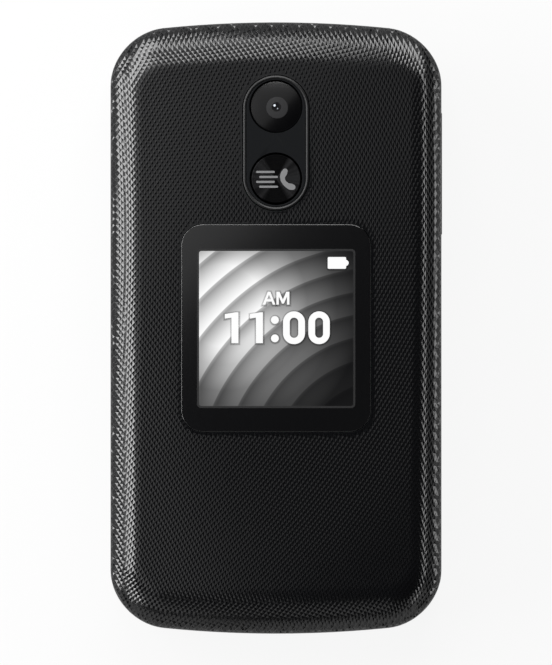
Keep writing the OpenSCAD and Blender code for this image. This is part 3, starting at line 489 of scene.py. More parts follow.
surroundings = bpy.data.worlds.new("paleRoom")
bpy.context.scene.world = surroundings
surroundings.use_nodes = True
roomTree = surroundings.node_tree
roomTree.nodes.clear()
roomOut = roomTree.nodes.new("ShaderNodeOutputWorld")
roomPath = roomTree.nodes.new("ShaderNodeLightPath")
roomMix = roomTree.nodes.new("ShaderNodeMixShader")
roomDim = addNode(roomTree, "ShaderNodeBackground", Color=(0.97, 0.98, 1.0, 1), Strength=0.014)
roomWhite = addNode(roomTree, "ShaderNodeBackground", Color=(1, 1, 1, 1), Strength=1.0)
roomTree.links.new(roomPath.outputs["Is Camera Ray"], roomMix.inputs["Fac"])
roomTree.links.new(roomDim.outputs[0], roomMix.inputs[1])
roomTree.links.new(roomWhite.outputs[0], roomMix.inputs[2])
roomTree.links.new(roomMix.outputs[0], roomOut.inputs["Surface"])


def makeFloor():
    # White floor, wide enough for every view
    size = {"half": 1600, "under": 0.02}
    floor = newMesh("whiteFloor", [(-size["half"], -size["half"], -size["under"]),
                                   (size["half"], -size["half"], -size["under"]),
                                   (size["half"], size["half"], -size["under"]),
                                   (-size["half"], size["half"], -size["under"])], [(0, 1, 2, 3)])
    material, tree, shader = newMaterial("whiteFloor")
    grain = placeGroup(tree, mouldGrain, Scale=900.0, Drift=0.4)
    tree.links.new(mixColours(tree, grain.outputs["Tone"], (0.70, 0.70, 0.70), (0.74, 0.74, 0.74)),
                   shader.inputs["Base Color"])
    shader.inputs["Roughness"].default_value = 0.9
    output = tree.nodes["Material Output"]
    path = tree.nodes.new("ShaderNodeLightPath")
    mirrored = mathNode(tree, "MAXIMUM", path.outputs["Is Glossy Ray"], path.outputs["Is Transmission Ray"])
    seen = mathNode(tree, "MAXIMUM", mathNode(tree, "MULTIPLY", path.outputs["Is Camera Ray"], 0.9), mirrored)
    glow = addNode(tree, "ShaderNodeEmission", Color=(1, 1, 1, 1))
    tree.links.new(mapRange(tree, path.outputs["Is Camera Ray"], 0.3, 1.0), glow.inputs["Strength"])
    mix = tree.nodes.new("ShaderNodeMixShader")
    tree.links.new(seen, mix.inputs["Fac"])
    tree.links.new(shader.outputs[0], mix.inputs[1])
    tree.links.new(glow.outputs[0], mix.inputs[2])
    tree.links.new(mix.outputs[0], output.inputs["Surface"])
    floor.data.materials.append(material)


makeFloor()
print("camera, lamps and floor ready")


# The lid's outer cover: the roll of its edges and the diamond dimples moulded all over it.
# Its rows and slants are two families of curved lines, with directions and pitch measured in the photograph.
lidCover = {"sideRoll": 5.5, "endRoll": 8.0, "rollHeight": 5.2, "shoulder": 13.8, "seam": 13.6,
            "dimple": 0.088, "rimDeepening": 3.0, "rimFade": 0.22, "rimContrast": 0.5, "lip": 0.7,
            "shell": 0.9, "windowGap": 0.1,
            "rows": {"across": (0.821, -0.571), "bend": (0.0045, 0.0026, 0.0030), "pitch": 0.686},
            "slants": {"across": (0.879, 0.477), "bend": (0.0039, -0.0031, 0.0016), "pitch": 0.678}}
outerWindow = {"width": 33.8, "length": 37.0, "corner": 3.9, "low": 18.2, "top": 18.93, "edge": 0.12}
trimPlate = {"width": 11.9, "length": 24.2, "y": 33.0, "low": 18.2, "top": 18.98, "rim": 0.70}


def lidTilt(x, y):
    # Angle reached round the lid's rolled edge at a point of its face
    flatY = y / bowFactor(x)
    low, high = np.zeros_like(x), np.full_like(x, math.pi / 2)
    for _ in range(26):
        a = (low + high) / 2
        dx, dy = lidCover["sideRoll"] * (1 - np.cos(a)), lidCover["endRoll"] * (1 - np.cos(a))
        radius = np.maximum(1.0, phone["cornerRadius"] - np.minimum(dx, dy))
        qx = np.abs(x) - (phone["width"] / 2 - dx - radius)
        qy = np.abs(flatY) - (phone["length"] / 2 - dy - radius)
        reach = np.hypot(np.maximum(qx, 0), np.maximum(qy, 0)) + np.minimum(np.maximum(qx, qy), 0) - radius
        low, high = np.where(reach < 0, a, low), np.where(reach < 0, high, a)
    return low


def lidHeight(x, y):
    return lidCover["shoulder"] + lidCover["rollHeight"] * np.sin(lidTilt(x, y))


def latticePhase(x, y, lattice):
    (a, b), (xx, xy, yy) = lattice["across"], lattice["bend"]
    return (a * x + b * y + 0.5 * (xx * x * x + 2 * xy * x * y + yy * y * y)) / lattice["pitch"]


def latticePlaces(u, v):
    # Where two families of gently curved lines cross, by Newton's steps
    x, y = np.zeros_like(u), np.zeros_like(u)
    for _ in range(14):
        slopes = []
        for lattice in (lidCover["rows"], lidCover["slants"]):
            (a, b), (xx, xy, yy), pitch = lattice["across"], lattice["bend"], lattice["pitch"]
            slopes.append(((a + xx * x + xy * y) / pitch, (b + xy * x + yy * y) / pitch))
        (ux, uy), (vx, vy) = slopes
        du = u - latticePhase(x, y, lidCover["rows"])
        dv = v - latticePhase(x, y, lidCover["slants"])
        spread = ux * vy - uy * vx
        x, y = x + (vy * du - uy * dv) / spread, y + (ux * dv - vx * du) / spread
        x, y = np.clip(x, -90, 90), np.clip(y, -140, 140)
    return x, y


def dimpleDepth(x, y):
    # Each cell is a shallow pyramid pressed in at its middle
    u = latticePhase(x, y, lidCover["rows"]) % 1.0
    v = latticePhase(x, y, lidCover["slants"]) % 1.0
    return lidCover["dimple"] * (1 - 2 * np.maximum(np.abs(u - 0.5), np.abs(v - 0.5)))


def roundedDistance(x, y, width, length, radius, centre=(0, 0)):
    # Distance outward from a rounded rectangle's edge
    qx = np.abs(x - centre[0]) - (width / 2 - radius)
    qy = np.abs(y - centre[1]) - (length / 2 - radius)
    return np.hypot(np.maximum(qx, 0), np.maximum(qy, 0)) + np.minimum(np.maximum(qx, qy), 0) - radius


def insideLoop(x, y, loop):
    # Even-odd test of many points against one loop
    hit = np.zeros(len(x), dtype=bool)
    for (x0, y0), (x1, y1) in zip(loop, loop[1:] + loop[:1]):
        if y0 == y1:
            continue
        across = (y0 > y) != (y1 > y)
        hit ^= across & (x < (x1 - x0) * (y - y0) / (y1 - y0) + x0)
    return hit


def spaced(loop, step):
    points = []
    for (x0, y0), (x1, y1) in zip(loop, loop[1:] + loop[:1]):
        count = max(1, round(math.hypot(x1 - x0, y1 - y0) / step))
        points += [(x0 + (x1 - x0) * i / count, y0 + (y1 - y0) * i / count) for i in range(count)]
    return points


def rollLoop(angle, steps=14):
    a = math.radians(angle)
    inward = 1 - math.cos(a)
    return outlineLoop(lidCover["sideRoll"] * inward, lidCover["endRoll"] * inward, steps)


def makeLidCover():
    outline = spaced(rollLoop(0), 0.6)
    gap = lidCover["windowGap"]
    windowHole = roundedLoop(outerWindow["width"] + 2 * gap, outerWindow["length"] + 2 * gap,
                             outerWindow["corner"] + gap, steps=12)
    trimHole = roundedLoop(trimPlate["width"] + 2 * gap, trimPlate["length"] + 2 * gap,
                           trimPlate["width"] / 2 + gap, (0, trimPlate["y"]), steps=24)
    holes = [spaced(windowHole, 0.6), spaced(trimHole, 0.6)]
    loops = [outline] + holes + [spaced(rollLoop(a), 0.6) for a in (10, 20)]

    reach = 118
    count = 2 * reach + 1
    u, v = np.meshgrid(np.arange(-reach, reach + 1.0), np.arange(-reach, reach + 1.0), indexing="ij")
    cornersX, cornersY = latticePlaces(u.ravel(), v.ravel())
    middlesX, middlesY = latticePlaces(u.ravel() + 0.5, v.ravel() + 0.5)
    near = (np.abs(cornersX) < phone["width"] / 2 + 1.5) & (np.abs(cornersY) < phone["length"] / 2 + 1.5)
    nearMiddle = (np.abs(middlesX) < phone["width"] / 2) & (np.abs(middlesY) < phone["length"] / 2)
    places, edges, index = [], [], -np.ones(count * count, dtype=int)
    for k in np.nonzero(near)[0]:
        index[k] = len(places)
        places.append((cornersX[k], cornersY[k]))
    for k in np.nonzero(near)[0]:
        for other in (k + 1, k + count):
            if other < count * count and index[other] >= 0 and (other != k + 1 or (k + 1) % count):
                edges.append((index[k], index[other]))
    for k in np.nonzero(nearMiddle)[0]:
        places.append((middlesX[k], middlesY[k]))
    for loop in loops:
        start = len(places)
        places += loop
        edges += [(start + i, start + (i + 1) % len(loop)) for i in range(len(loop))]
    result = delaunay_2d_cdt([Vector(p) for p in places], [(int(a), int(b)) for a, b in edges],
                             [], 0, 1e-5, False)
    x = np.array([p.x for p in result[0]])
    y = np.array([p.y for p in result[0]])
    faces = np.array([face[:3] for face in result[2]])
    midX, midY = x[faces].mean(axis=1), y[faces].mean(axis=1)
    keep = insideLoop(midX, midY, outline)
    for hole in holes:
        keep &= ~insideLoop(midX, midY, hole)
    faces = faces[keep]

    # Points of the outline itself stay on it; the others are pressed in along the surface
    tilt = lidTilt(x, y)
    z = lidCover["shoulder"] + lidCover["rollHeight"] * np.sin(tilt)
    step = 0.02
    slopeX = (lidHeight(x + step, y) - lidHeight(x - step, y)) / (2 * step)
    slopeY = (lidHeight(x, y + step) - lidHeight(x, y - step)) / (2 * step)
    length = np.sqrt(slopeX ** 2 + slopeY ** 2 + 1)
    toWindow = roundedDistance(x, y, outerWindow["width"] + 2 * gap, outerWindow["length"] + 2 * gap,
                               outerWindow["corner"] + gap)
    toTrim = roundedDistance(x, y, trimPlate["width"] + 2 * gap, trimPlate["length"] + 2 * gap,
                             trimPlate["width"] / 2 + gap, (0, trimPlate["y"]))
    lip = np.clip(np.minimum(toWindow, toTrim) / lidCover["lip"], 0, 1)
    depth = dimpleDepth(x, y) * np.clip((tilt - 0.08) / lidCover["rimFade"], 0, 1) * lip
    depth *= np.minimum(length, lidCover["rimDeepening"]) * (1 + lidCover["rimContrast"] * (1 - np.sin(tilt)))
    x, y, z = x + depth * slopeX / length, y + depth * slopeY / length, z - depth / length

    bm = bmesh.new()
    verts = {}
    for k in np.unique(faces):
        verts[k] = bm.verts.new(Vector((x[k], y[k], z[k])) * metre)
    for a, b, c in faces:
        bm.faces.new((verts[a], verts[b], verts[c]))
    bmesh.ops.recalc_face_normals(bm, faces=bm.faces)
    if sum(face.normal.z for face in bm.faces) < 0:
        bmesh.ops.reverse_faces(bm, faces=bm.faces)
    # The rim drops straight to the seam
    rim = [e for e in bm.edges if e.is_boundary
           and all(v.co.z < (lidCover["shoulder"] + 0.3) * metre for v in e.verts)]
    dropped = bmesh.ops.extrude_edge_only(bm, edges=rim)["geom"]
    for element in dropped:
        if isinstance(element, bmesh.types.BMVert):
            element.co.z = lidCover["seam"] * metre
    mesh = bpy.data.meshes.new("lidKnurledCover")
    bm.to_mesh(mesh)
    bm.free()
    cover = bpy.data.objects.new("lidKnurledCover", mesh)
    bpy.context.scene.collection.objects.link(cover)
    thicken = cover.modifiers.new("thicken", "SOLIDIFY")
    thicken.thickness = lidCover["shell"] * metre
    thicken.offset = -1
    print("lid cover:", len(faces), "facets")
    return cover


lidCoverPiece = makeLidCover()
knurledBlack = mouldedPlastic("knurledBlack", (0.0022, 0.0023, 0.0028), (0.035, 0.036, 0.04), 0.16,
                              grainScale=9000.0, grainDepth=0.002, wear=0.25, gloss=1.0)
finishPiece(lidCoverPiece, knurledBlack, "lid", ["lid_outer_cover"])
print("lid cover ready")


# Outer display: black window, matrix line, picture and what it shows
picture = {"width": 27.49, "length": 27.64, "centre": (0.03, -0.09), "corner": 0.4, "matrix": 0.36,
           "low": 18.90, "top": 18.945, "shade": (18.955, 18.965), "mark": 18.98,
           "clockFoot": -2.70, "clockHeight": 5.5}


def strokeLoop(path, widths, capSteps=8):
    # Outline of a thick line with round ends; half its width may change along it
    path = [Vector(p) for p in path]
    left, right = [], []
    for i, point in enumerate(path):
        along = (path[min(i + 1, len(path) - 1)] - path[max(i - 1, 0)]).normalized()
        across = Vector((-along.y, along.x)) * widths[i]
        left.append(point + across)
        right.append(point - across)

    def cap(point, width, angle):
        turns = [angle - math.pi * k / capSteps for k in range(1, capSteps)]
        return [point + Vector((math.cos(turn), math.sin(turn))) * width for turn in turns]
    endTurn = math.atan2(*(left[-1] - path[-1]).yx)
    startTurn = math.atan2(*(right[0] - path[0]).yx)
    loop = left + cap(path[-1], widths[-1], endTurn) + right[::-1] + cap(path[0], widths[0], startTurn)
    return [(p.x, p.y) for p in loop][::-1]


def glowing(name, colour, strength=1.0):
    # Lit mark on the display, a touch uneven as pixels are
    material, tree, shader = newMaterial(name)
    grain = placeGroup(tree, mouldGrain, Scale=2500.0, Drift=0.2)
    dark = tuple(c * 0.94 for c in colour)
    tree.links.new(mixColours(tree, grain.outputs["Tone"], dark, colour), shader.inputs["Emission Color"])
    shader.inputs["Emission Strength"].default_value = strength
    shader.inputs["Base Color"].default_value = (0.01, 0.01, 0.01, 1)
    shader.inputs["Roughness"].default_value = 0.4
    return material


def pictureFinish():
    # Soft slanting ribbons over a light that falls off from the upper left to the lower right
    material, tree, shader = newMaterial("litPicture")
    place = addNode(tree, "ShaderNodeTexCoord")
    split = addNode(tree, "ShaderNodeSeparateXYZ")
    tree.links.new(place.outputs["Object"], split.inputs[0])
    halfWidth, halfLength = picture["width"] / 2 * metre, picture["length"] / 2 * metre
    x = mathNode(tree, "DIVIDE", mathNode(tree, "SUBTRACT", split.outputs["X"], picture["centre"][0] * metre),
                 halfWidth)
    y = mathNode(tree, "DIVIDE", mathNode(tree, "SUBTRACT", split.outputs["Y"], picture["centre"][1] * metre),
                 halfLength)
    across = mathNode(tree, "ADD", x, 0.7)
    along = mathNode(tree, "SUBTRACT", y, 0.3)
    reach = mathNode(tree, "SQRT", mathNode(tree, "ADD", mathNode(tree, "MULTIPLY", across, across),
                                            mathNode(tree, "MULTIPLY", along, along)), 0.0)
    light = ramp(tree, mathNode(tree, "DIVIDE", reach, 2.4),
                 [(0.1, (1.0, 1.0, 1.0)), (0.22, (0.98, 0.98, 0.98)), (0.32, (0.55, 0.55, 0.55)),
                  (0.46, (0.20, 0.20, 0.20)), (0.62, (0.06, 0.06, 0.06)), (0.76, (0.009, 0.009, 0.009)),
                  (1.0, (0.002, 0.002, 0.002))])
    bend = addNode(tree, "ShaderNodeMapping")
    bend.inputs["Location"].default_value = (-0.021, 0.026, 0)
    tree.links.new(place.outputs["Object"], bend.inputs["Vector"])
    ribbons = addNode(tree, "ShaderNodeTexWave", wave_type="RINGS", rings_direction="Z", wave_profile="SAW",
                      Scale=74.0, Distortion=3.4, Detail=1.0)
    ribbons.inputs["Detail Scale"].default_value = 0.3
    tree.links.new(bend.outputs["Vector"], ribbons.inputs["Vector"])
    shade = ramp(tree, ribbons.outputs["Fac"], [(0.0, (1.0, 1.0, 1.0)), (0.3, (0.80, 0.80, 0.80)),
                                                (0.85, (0.34, 0.34, 0.34)), (0.97, (0.50, 0.50, 0.50)),
                                                (1.0, (1.0, 1.0, 1.0))])
    tint = addNode(tree, "ShaderNodeMix", data_type="RGBA", blend_type="MULTIPLY")
    tint.inputs["Factor"].default_value = 1.0
    tree.links.new(light, tint.inputs[6])
    tree.links.new(shade, tint.inputs[7])
    edge = mathNode(tree, "MAXIMUM", mathNode(tree, "ABSOLUTE", x, 0.0), mathNode(tree, "ABSOLUTE", y, 0.0))
    border = mathNode(tree, "GREATER_THAN", edge, 0.984)
    lifted = mixColours(tree, mathNode(tree, "MULTIPLY", border, 0.12), tint.outputs[2], light)
    tree.links.new(lifted, shader.inputs["Emission Color"])
    shader.inputs["Emission Strength"].default_value = 1.0
    shader.inputs["Base Color"].default_value = (0.003, 0.003, 0.0035, 1)
    shader.inputs["Roughness"].default_value = 0.3
    shader.inputs["Specular IOR Level"].default_value = 0.2
    return material


def shadeFinish():
    # Faint dark halo that keeps white marks readable
    material, tree, shader = newMaterial("markShade")
    grain = placeGroup(tree, mouldGrain, Scale=3000.0)
    tree.links.new(mapRange(tree, grain.outputs["Tone"], 0.12, 0.22), shader.inputs["Alpha"])
    shader.inputs["Base Color"].default_value = (0.01, 0.01, 0.01, 1)
    shader.inputs["Roughness"].default_value = 0.9
    shader.inputs["Specular IOR Level"].default_value = 0.0
    return material


def digitOne(x, foot, width, height):
    stem = 1.24
    return [(x + width - stem, foot), (x + width, foot), (x + width, foot + height),
            (x + width - 0.5, foot + height), (x, foot + height - 0.32), (x, foot + height - 1.12),
            (x + width - stem, foot + height - 0.94)]


def displayMarks():
    foot, height = picture["clockFoot"], picture["clockHeight"]
    middle = foot + height / 2
    zeros = []
    for x0, x1 in ((1.25, 5.17), (5.77, 9.59)):
        zeros += [roundedLoop(x1 - x0, height + 0.34, 1.93, ((x0 + x1) / 2, middle), 10),
                  roundedLoop(x1 - x0 - 2.4, height - 1.9, 0.75, ((x0 + x1) / 2, middle), 8)]
    clock = [digitOne(-9.13, foot, 2.43, height), digitOne(-4.65, foot, 2.31, height),
             circleLoop(0.7, (-0.2, 1.44), 24), circleLoop(0.7, (-0.2, -1.84), 24)] + zeros
    body = [(9.22, 10.7), (9.36, 10.56), (12.36, 10.56), (12.5, 10.7), (12.5, 11.05), (12.68, 11.12),
            (12.95, 11.42), (12.95, 11.8), (12.68, 12.1), (12.5, 12.17), (12.5, 12.52), (12.36, 12.66),
            (9.36, 12.66), (9.22, 12.52)]
    left, low, tall = -2.39, 4.17, 2.4
    noonA = [(0, 0), (0.95, tall), (1.43, tall), (2.38, 0), (1.88, 0), (1.68, 0.58), (0.70, 0.58), (0.50, 0)]
    holeA = [(0.86, 1.0), (1.52, 1.0), (1.19, 1.85)]
    noonM = [(2.56, 0), (2.56, tall), (3.14, tall), (3.77, 0.95), (4.40, tall), (4.98, tall), (4.98, 0),
             (4.53, 0), (4.53, 1.5), (3.95, 0.2), (3.59, 0.2), (3.01, 1.5), (3.01, 0)]
    noon = [[(x * 0.96 + left, y * 0.96 + low) for x, y in loop] for loop in (noonA, holeA, noonM)]
    return clock, [body], noon


def makeOuterDisplay():
    glass = plate("outerWindowGlass", [roundedLoop(outerWindow["width"], outerWindow["length"],
                                                   outerWindow["corner"], steps=14)],
                  outerWindow["low"], outerWindow["top"], outerWindow["edge"], 4)
    finishPiece(glass, windowBlack, "lid", ["sub_display_window"], 40)
    around = picture["matrix"] * 2
    outer = roundedLoop(picture["width"] + around, picture["length"] + around, picture["corner"] + 0.3,
                        picture["centre"], 6)
    inner = roundedLoop(picture["width"], picture["length"], picture["corner"], picture["centre"], 6)
    matrix = plate("outerMatrixLine", [outer, inner], picture["low"], picture["top"] - 0.005, 0.005)
    finishPiece(matrix, matrixBlack, "lid")
    screen = plate("outerPicture", [inner], picture["low"], picture["top"], 0.004)
    finishPiece(screen, pictureFinish(), "lid")
    clock, cell, noon = displayMarks()
    for name, loops in (("clockDigits", clock), ("batteryMark", cell), ("noonMark", noon)):
        for step, (grow, top) in enumerate(zip((0.30, 0.15), picture["shade"])):
            shifted = [[(x + 0.05, y - 0.08) for x, y in loop] for loop in loops]
            under = plate(name + "Shade" + str(step), shifted, top - 0.004, top, 0.001, grow=grow)
            finishPiece(under, markShade, "lid")
        mark = plate(name, loops, picture["mark"] - 0.01, picture["mark"], 0.004)
        finishPiece(mark, markWhite, "lid")


windowBlack = glossBlack("windowBlack", (0.0008, 0.0008, 0.0013), 0.17, 0.04, 1.0, 1.78)
matrixBlack = mouldedPlastic("matrixBlack", (0.007, 0.007, 0.0075), (0.02, 0.02, 0.02), 0.6, wear=0.0)
markWhite = glowing("markWhite", (1.0, 1.0, 1.0))
markShade = shadeFinish()
makeOuterDisplay()
print("outer display ready")


# Trim plate with the camera window and the round talk key
cameraGlass = {"radius": 4.7, "y": 39.5, "low": 18.2, "edge": 18.36, "top": 18.965}
cameraLens = {"ringOuter": 1.92, "ringInner": 0.72, "pupil": 0.70, "x": 0.2, "y": 39.3, "pupilX": -0.14,
              "pupilY": 39.64, "lift": 0.012, "glints": [(-0.25, 39.69, 0.2), (0.27, 39.14, 0.13)]}
talkKey = {"radius": 4.35, "flange": 5.1, "y": 26.6, "low": 16.25, "flangeTop": 16.75, "top": 18.93,
           "grooves": 34, "grooveDepth": 0.032, "gap": 0.35, "mark": 18.95,
           "bars": [(-3.55, -0.21, 27.83), (-3.0, 0.36, 26.94), (-3.55, -0.21, 26.05), (-3.0, 0.36, 25.19)],
           "barHalf": 0.19,
           "handset": [(1.63, 27.98, 0.46), (1.40, 27.55, 0.56), (1.16, 27.0, 0.46), (1.21, 26.4, 0.41),
                       (1.53, 25.85, 0.41), (2.03, 25.42, 0.46), (2.58, 25.20, 0.58), (2.98, 25.12, 0.50)]}


def turnedFinish(name, dark, light, roughness, centreY):
    # Painted highlight: two wedges left and right of the middle are lighter in the base colour, standing in
    # for the light that fine turning marks catch
    material, tree, shader = newMaterial(name)
    place = addNode(tree, "ShaderNodeTexCoord")
    shift = addNode(tree, "ShaderNodeMapping")
    shift.inputs["Location"].default_value = (0, -centreY * metre, 0)
    tree.links.new(place.outputs["Object"], shift.inputs["Vector"])
    flat = addNode(tree, "ShaderNodeVectorMath", operation="MULTIPLY")
    flat.inputs[1].default_value = (1, 1, 0)
    tree.links.new(shift.outputs["Vector"], flat.inputs[0])
    outward = addNode(tree, "ShaderNodeVectorMath", operation="NORMALIZE")
    tree.links.new(flat.outputs["Vector"], outward.inputs[0])
    split = addNode(tree, "ShaderNodeSeparateXYZ")
    tree.links.new(outward.outputs["Vector"], split.inputs[0])
    sideways = mathNode(tree, "ABSOLUTE", split.outputs["X"], 0.0)
    # Painted highlight: base colour lighter in wedges left and right of the key's centre, where turning marks
    # would catch the lamps
    paintedWedge = ramp(tree, sideways, [(0.46, (0, 0, 0)), (0.64, (1, 1, 1)), (0.80, (0.55, 0.55, 0.55)),
                                  (1.0, (0.9, 0.9, 0.9))])
    streaks = addNode(tree, "ShaderNodeTexNoise", Scale=5.5, Detail=3.0, Roughness=0.6)
    tree.links.new(outward.outputs["Vector"], streaks.inputs["Vector"])
    # Painted highlight too: brighter streaks running outward within the wedges
    paintedStreak = ramp(tree, streaks.outputs["Fac"], [(0.35, (0.35, 0.35, 0.35)), (0.62, (1, 1, 1))])
    lit = mathNode(tree, "MULTIPLY", paintedWedge, paintedStreak)
    tree.links.new(mixColours(tree, lit, dark, light), shader.inputs["Base Color"])
    grain = placeGroup(tree, mouldGrain, Scale=8000.0)
    tree.links.new(mapRange(tree, grain.outputs["Height"], roughness - 0.05, roughness + 0.05),
                   shader.inputs["Roughness"])
    shader.inputs["Specular IOR Level"].default_value = 0.018
    return material


def makeTrim():
    gap = 0.06
    y = trimPlate["y"]
    around = roundedLoop(trimPlate["width"], trimPlate["length"], trimPlate["width"] / 2, (0, y), 28)
    inset = trimPlate["rim"]
    within = roundedLoop(trimPlate["width"] - 2 * inset, trimPlate["length"] - 2 * inset,
                         trimPlate["width"] / 2 - inset, (0, y), 28)
    cameraHole = circleLoop(cameraGlass["radius"] + gap, (0, cameraGlass["y"]), 80)
    keyHole = circleLoop(talkKey["radius"] + talkKey["gap"], (0, talkKey["y"]), 80)
    face = plate("trimFace", [within, cameraHole, keyHole], trimPlate["low"], trimPlate["top"] - 0.04, 0.05)
    finishPiece(face, trimMatt, "lid", ["camera_trim"], 35)
    rim = plate("trimRim", [around, within], trimPlate["low"], trimPlate["top"] + 0.01, 0.34, 1)
    finishPiece(rim, trimBright, "lid", ["camera_trim"], 15)


def makeCamera():
    glass = cameraGlass
    profile = [(0.0, glass["low"])]
    profile += [(glass["radius"] * k / 6, glass["low"]) for k in range(1, 7)]
    profile += [(glass["radius"], glass["edge"] - 0.1), (glass["radius"] - 0.03, glass["edge"] - 0.02)]
    rise = glass["top"] - glass["edge"]
    for k in range(16, -1, -1):
        r = (glass["radius"] - 0.08) * k / 16
        profile.append((r, glass["edge"] + rise * (1 - (r / glass["radius"]) ** 2)))
    points, faces = lathe(profile, (0, glass["y"]), 96)
    dome = newMesh("cameraDome", points, faces)
    finishPiece(dome, domeGlass, "lid", ["camera_window"], 50)

    def onDome(x, y, lift):
        reach = math.hypot(x, y - glass["y"]) / glass["radius"]
        return (x, y, glass["edge"] + rise * (1 - reach * reach) + lift)

    def domePatch(name, centre, radii, lift, material, hole=None):
        # Thin round patch that follows the dome, with an optional hole of its own centre
        rings = []
        for radius, height in radii:
            if hole and radius == radii[-1][0]:
                middle, radius = hole
            else:
                middle = centre
            rings.append([onDome(x, y, height) for x, y in circleLoop(radius, middle, 48)])
        points, faces = loft(rings, closeStart=False, closeEnd=not hole, wrap=bool(hole))
        finishPiece(newMesh(name, points, faces), material, "lid", (), 60)
    lens = cameraLens
    centre, pupilCentre = (lens["x"], lens["y"]), (lens["pupilX"], lens["pupilY"])
    ringRadii = [(lens["ringOuter"], -0.01), (lens["ringOuter"], lens["lift"] * 0.5),
                 (lens["ringOuter"] - 0.12, lens["lift"]), (lens["ringInner"] + 0.25, lens["lift"]),
                 (lens["ringInner"], -0.01)]
    domePatch("lensRing", centre, ringRadii, 0, ringGrey, (pupilCentre, lens["pupil"]))
    domePatch("lensPupil", pupilCentre, [(lens["pupil"], -0.01), (lens["pupil"], 0.004),
                                         (lens["pupil"] * 0.5, 0.008), (0.05, 0.010)], 0, pupilBlack)
    # Painted highlights: two pale patches on the lens stand in for the lamps' glints
    for k, (x, y, radius) in enumerate(lens["glints"]):
        domePatch("lensGlint" + str(k), (x, y), [(radius, 0.004), (radius, 0.012), (radius * 0.5, 0.016)], 0,
                  (glintPale, glintDim)[k])


def makeTalkKey():
    key = talkKey
    profile = [(0.0, key["low"]), (key["flange"], key["low"]), (key["flange"], key["flangeTop"]),
               (key["radius"], key["flangeTop"]), (key["radius"], key["top"] - 0.14),
               (key["radius"] - 0.05, key["top"] - 0.05), (key["radius"] - 0.14, key["top"])]
    inner = key["radius"] - 0.22
    for k in range(key["grooves"], 0, -1):
        r = inner * k / key["grooves"]
        half = inner / key["grooves"] / 2
        depth = key["grooveDepth"] * (0.75 + 0.25 * math.sin(k * 2.4))
        profile += [(r, key["top"]), (r - half, key["top"] - depth)]
    profile.append((0.0, key["top"] - key["grooveDepth"]))
    points, faces = lathe(profile, (0, key["y"]), 96)
    cap = newMesh("talkKeyCap", points, faces)
    finishPiece(cap, talkKeyBlack, "call_key", ["call_key"], 8)
    half = key["barHalf"]
    loops = [strokeLoop([(x0 + half, y), (x1 - half, y)], [half] * 2) for x0, x1, y in key["bars"]]
    loops.append(strokeLoop([p[:2] for p in key["handset"]], [p[2] for p in key["handset"]]))
    marks = plate("talkKeyMarks", loops, key["top"] - key["grooveDepth"] - 0.02, key["mark"], 0.01)
    finishPiece(marks, legendGrey, "call_key")


trimMatt = mouldedPlastic("trimMatt", (0.0052, 0.0058, 0.0067), (0.02, 0.02, 0.02), 0.62,
                          grainScale=8000.0, grainDepth=0.002, wear=0.1, gloss=0.10)
trimBright = mouldedPlastic("trimBright", (0.010, 0.0102, 0.0107), (0.03, 0.03, 0.03), 0.36,
                            grainScale=8000.0, grainDepth=0.001, wear=0.0, gloss=0.38)
domeGlass = glossBlack("domeGlass", (0.0008, 0.0008, 0.0012), 0.20, 0.04, 0.95)
# The talk key's black carries painted highlight wedges in its base colour
talkKeyBlack = turnedFinish("talkKeyBlack", (0.0015, 0.0015, 0.0017), (0.020, 0.020, 0.021), 0.30,
                            talkKey["y"])
ringGrey = mouldedPlastic("ringGrey", (0.029, 0.029, 0.030), (0.05, 0.05, 0.05), 0.5,
                          grainScale=9000.0, grainDepth=0.001, wear=0.0, gloss=0.15)
pupilBlack = glossBlack("pupilBlack", (0.002, 0.002, 0.003), 0.1, 0.03)
# Painted highlight colours for the two lens glints
glintPale = mouldedPlastic("glintPale", (0.75, 0.80, 0.88), (0.8, 0.85, 0.9), 0.3,
                           grainScale=9000.0, grainDepth=0.0005, wear=0.0)
glintDim = mouldedPlastic("glintDim", (0.30, 0.32, 0.36), (0.4, 0.4, 0.4), 0.3,
                          grainScale=9000.0, grainDepth=0.0005, wear=0.0)
legendGrey = printedInk("legendGrey", (0.20, 0.20, 0.204), (0.3, 0.3, 0.3), 0.2)
makeTrim()
makeCamera()
makeTalkKey()
print("trim, camera and talk key ready")


# Volume rocker, a long rounded bar in the right side with a dip between its two ends
rocker = {"y": 27.5, "z": 5.0, "length": 22.0, "height": 2.6, "inner": 27.3, "flange": 27.9, "outer": 29.6,
          "dip": 0.16, "edge": 0.35, "markX": 29.598, "padLow": 26.78, "padReach": 8.0, "padRadius": 0.9}


def turnedToSide(piece):
    # A piece drawn flat, as seen from the right, takes its place in the right side
    for vertex in piece.data.vertices:
        x, y, z = vertex.co
        vertex.co = (z, x, y)
    return piece


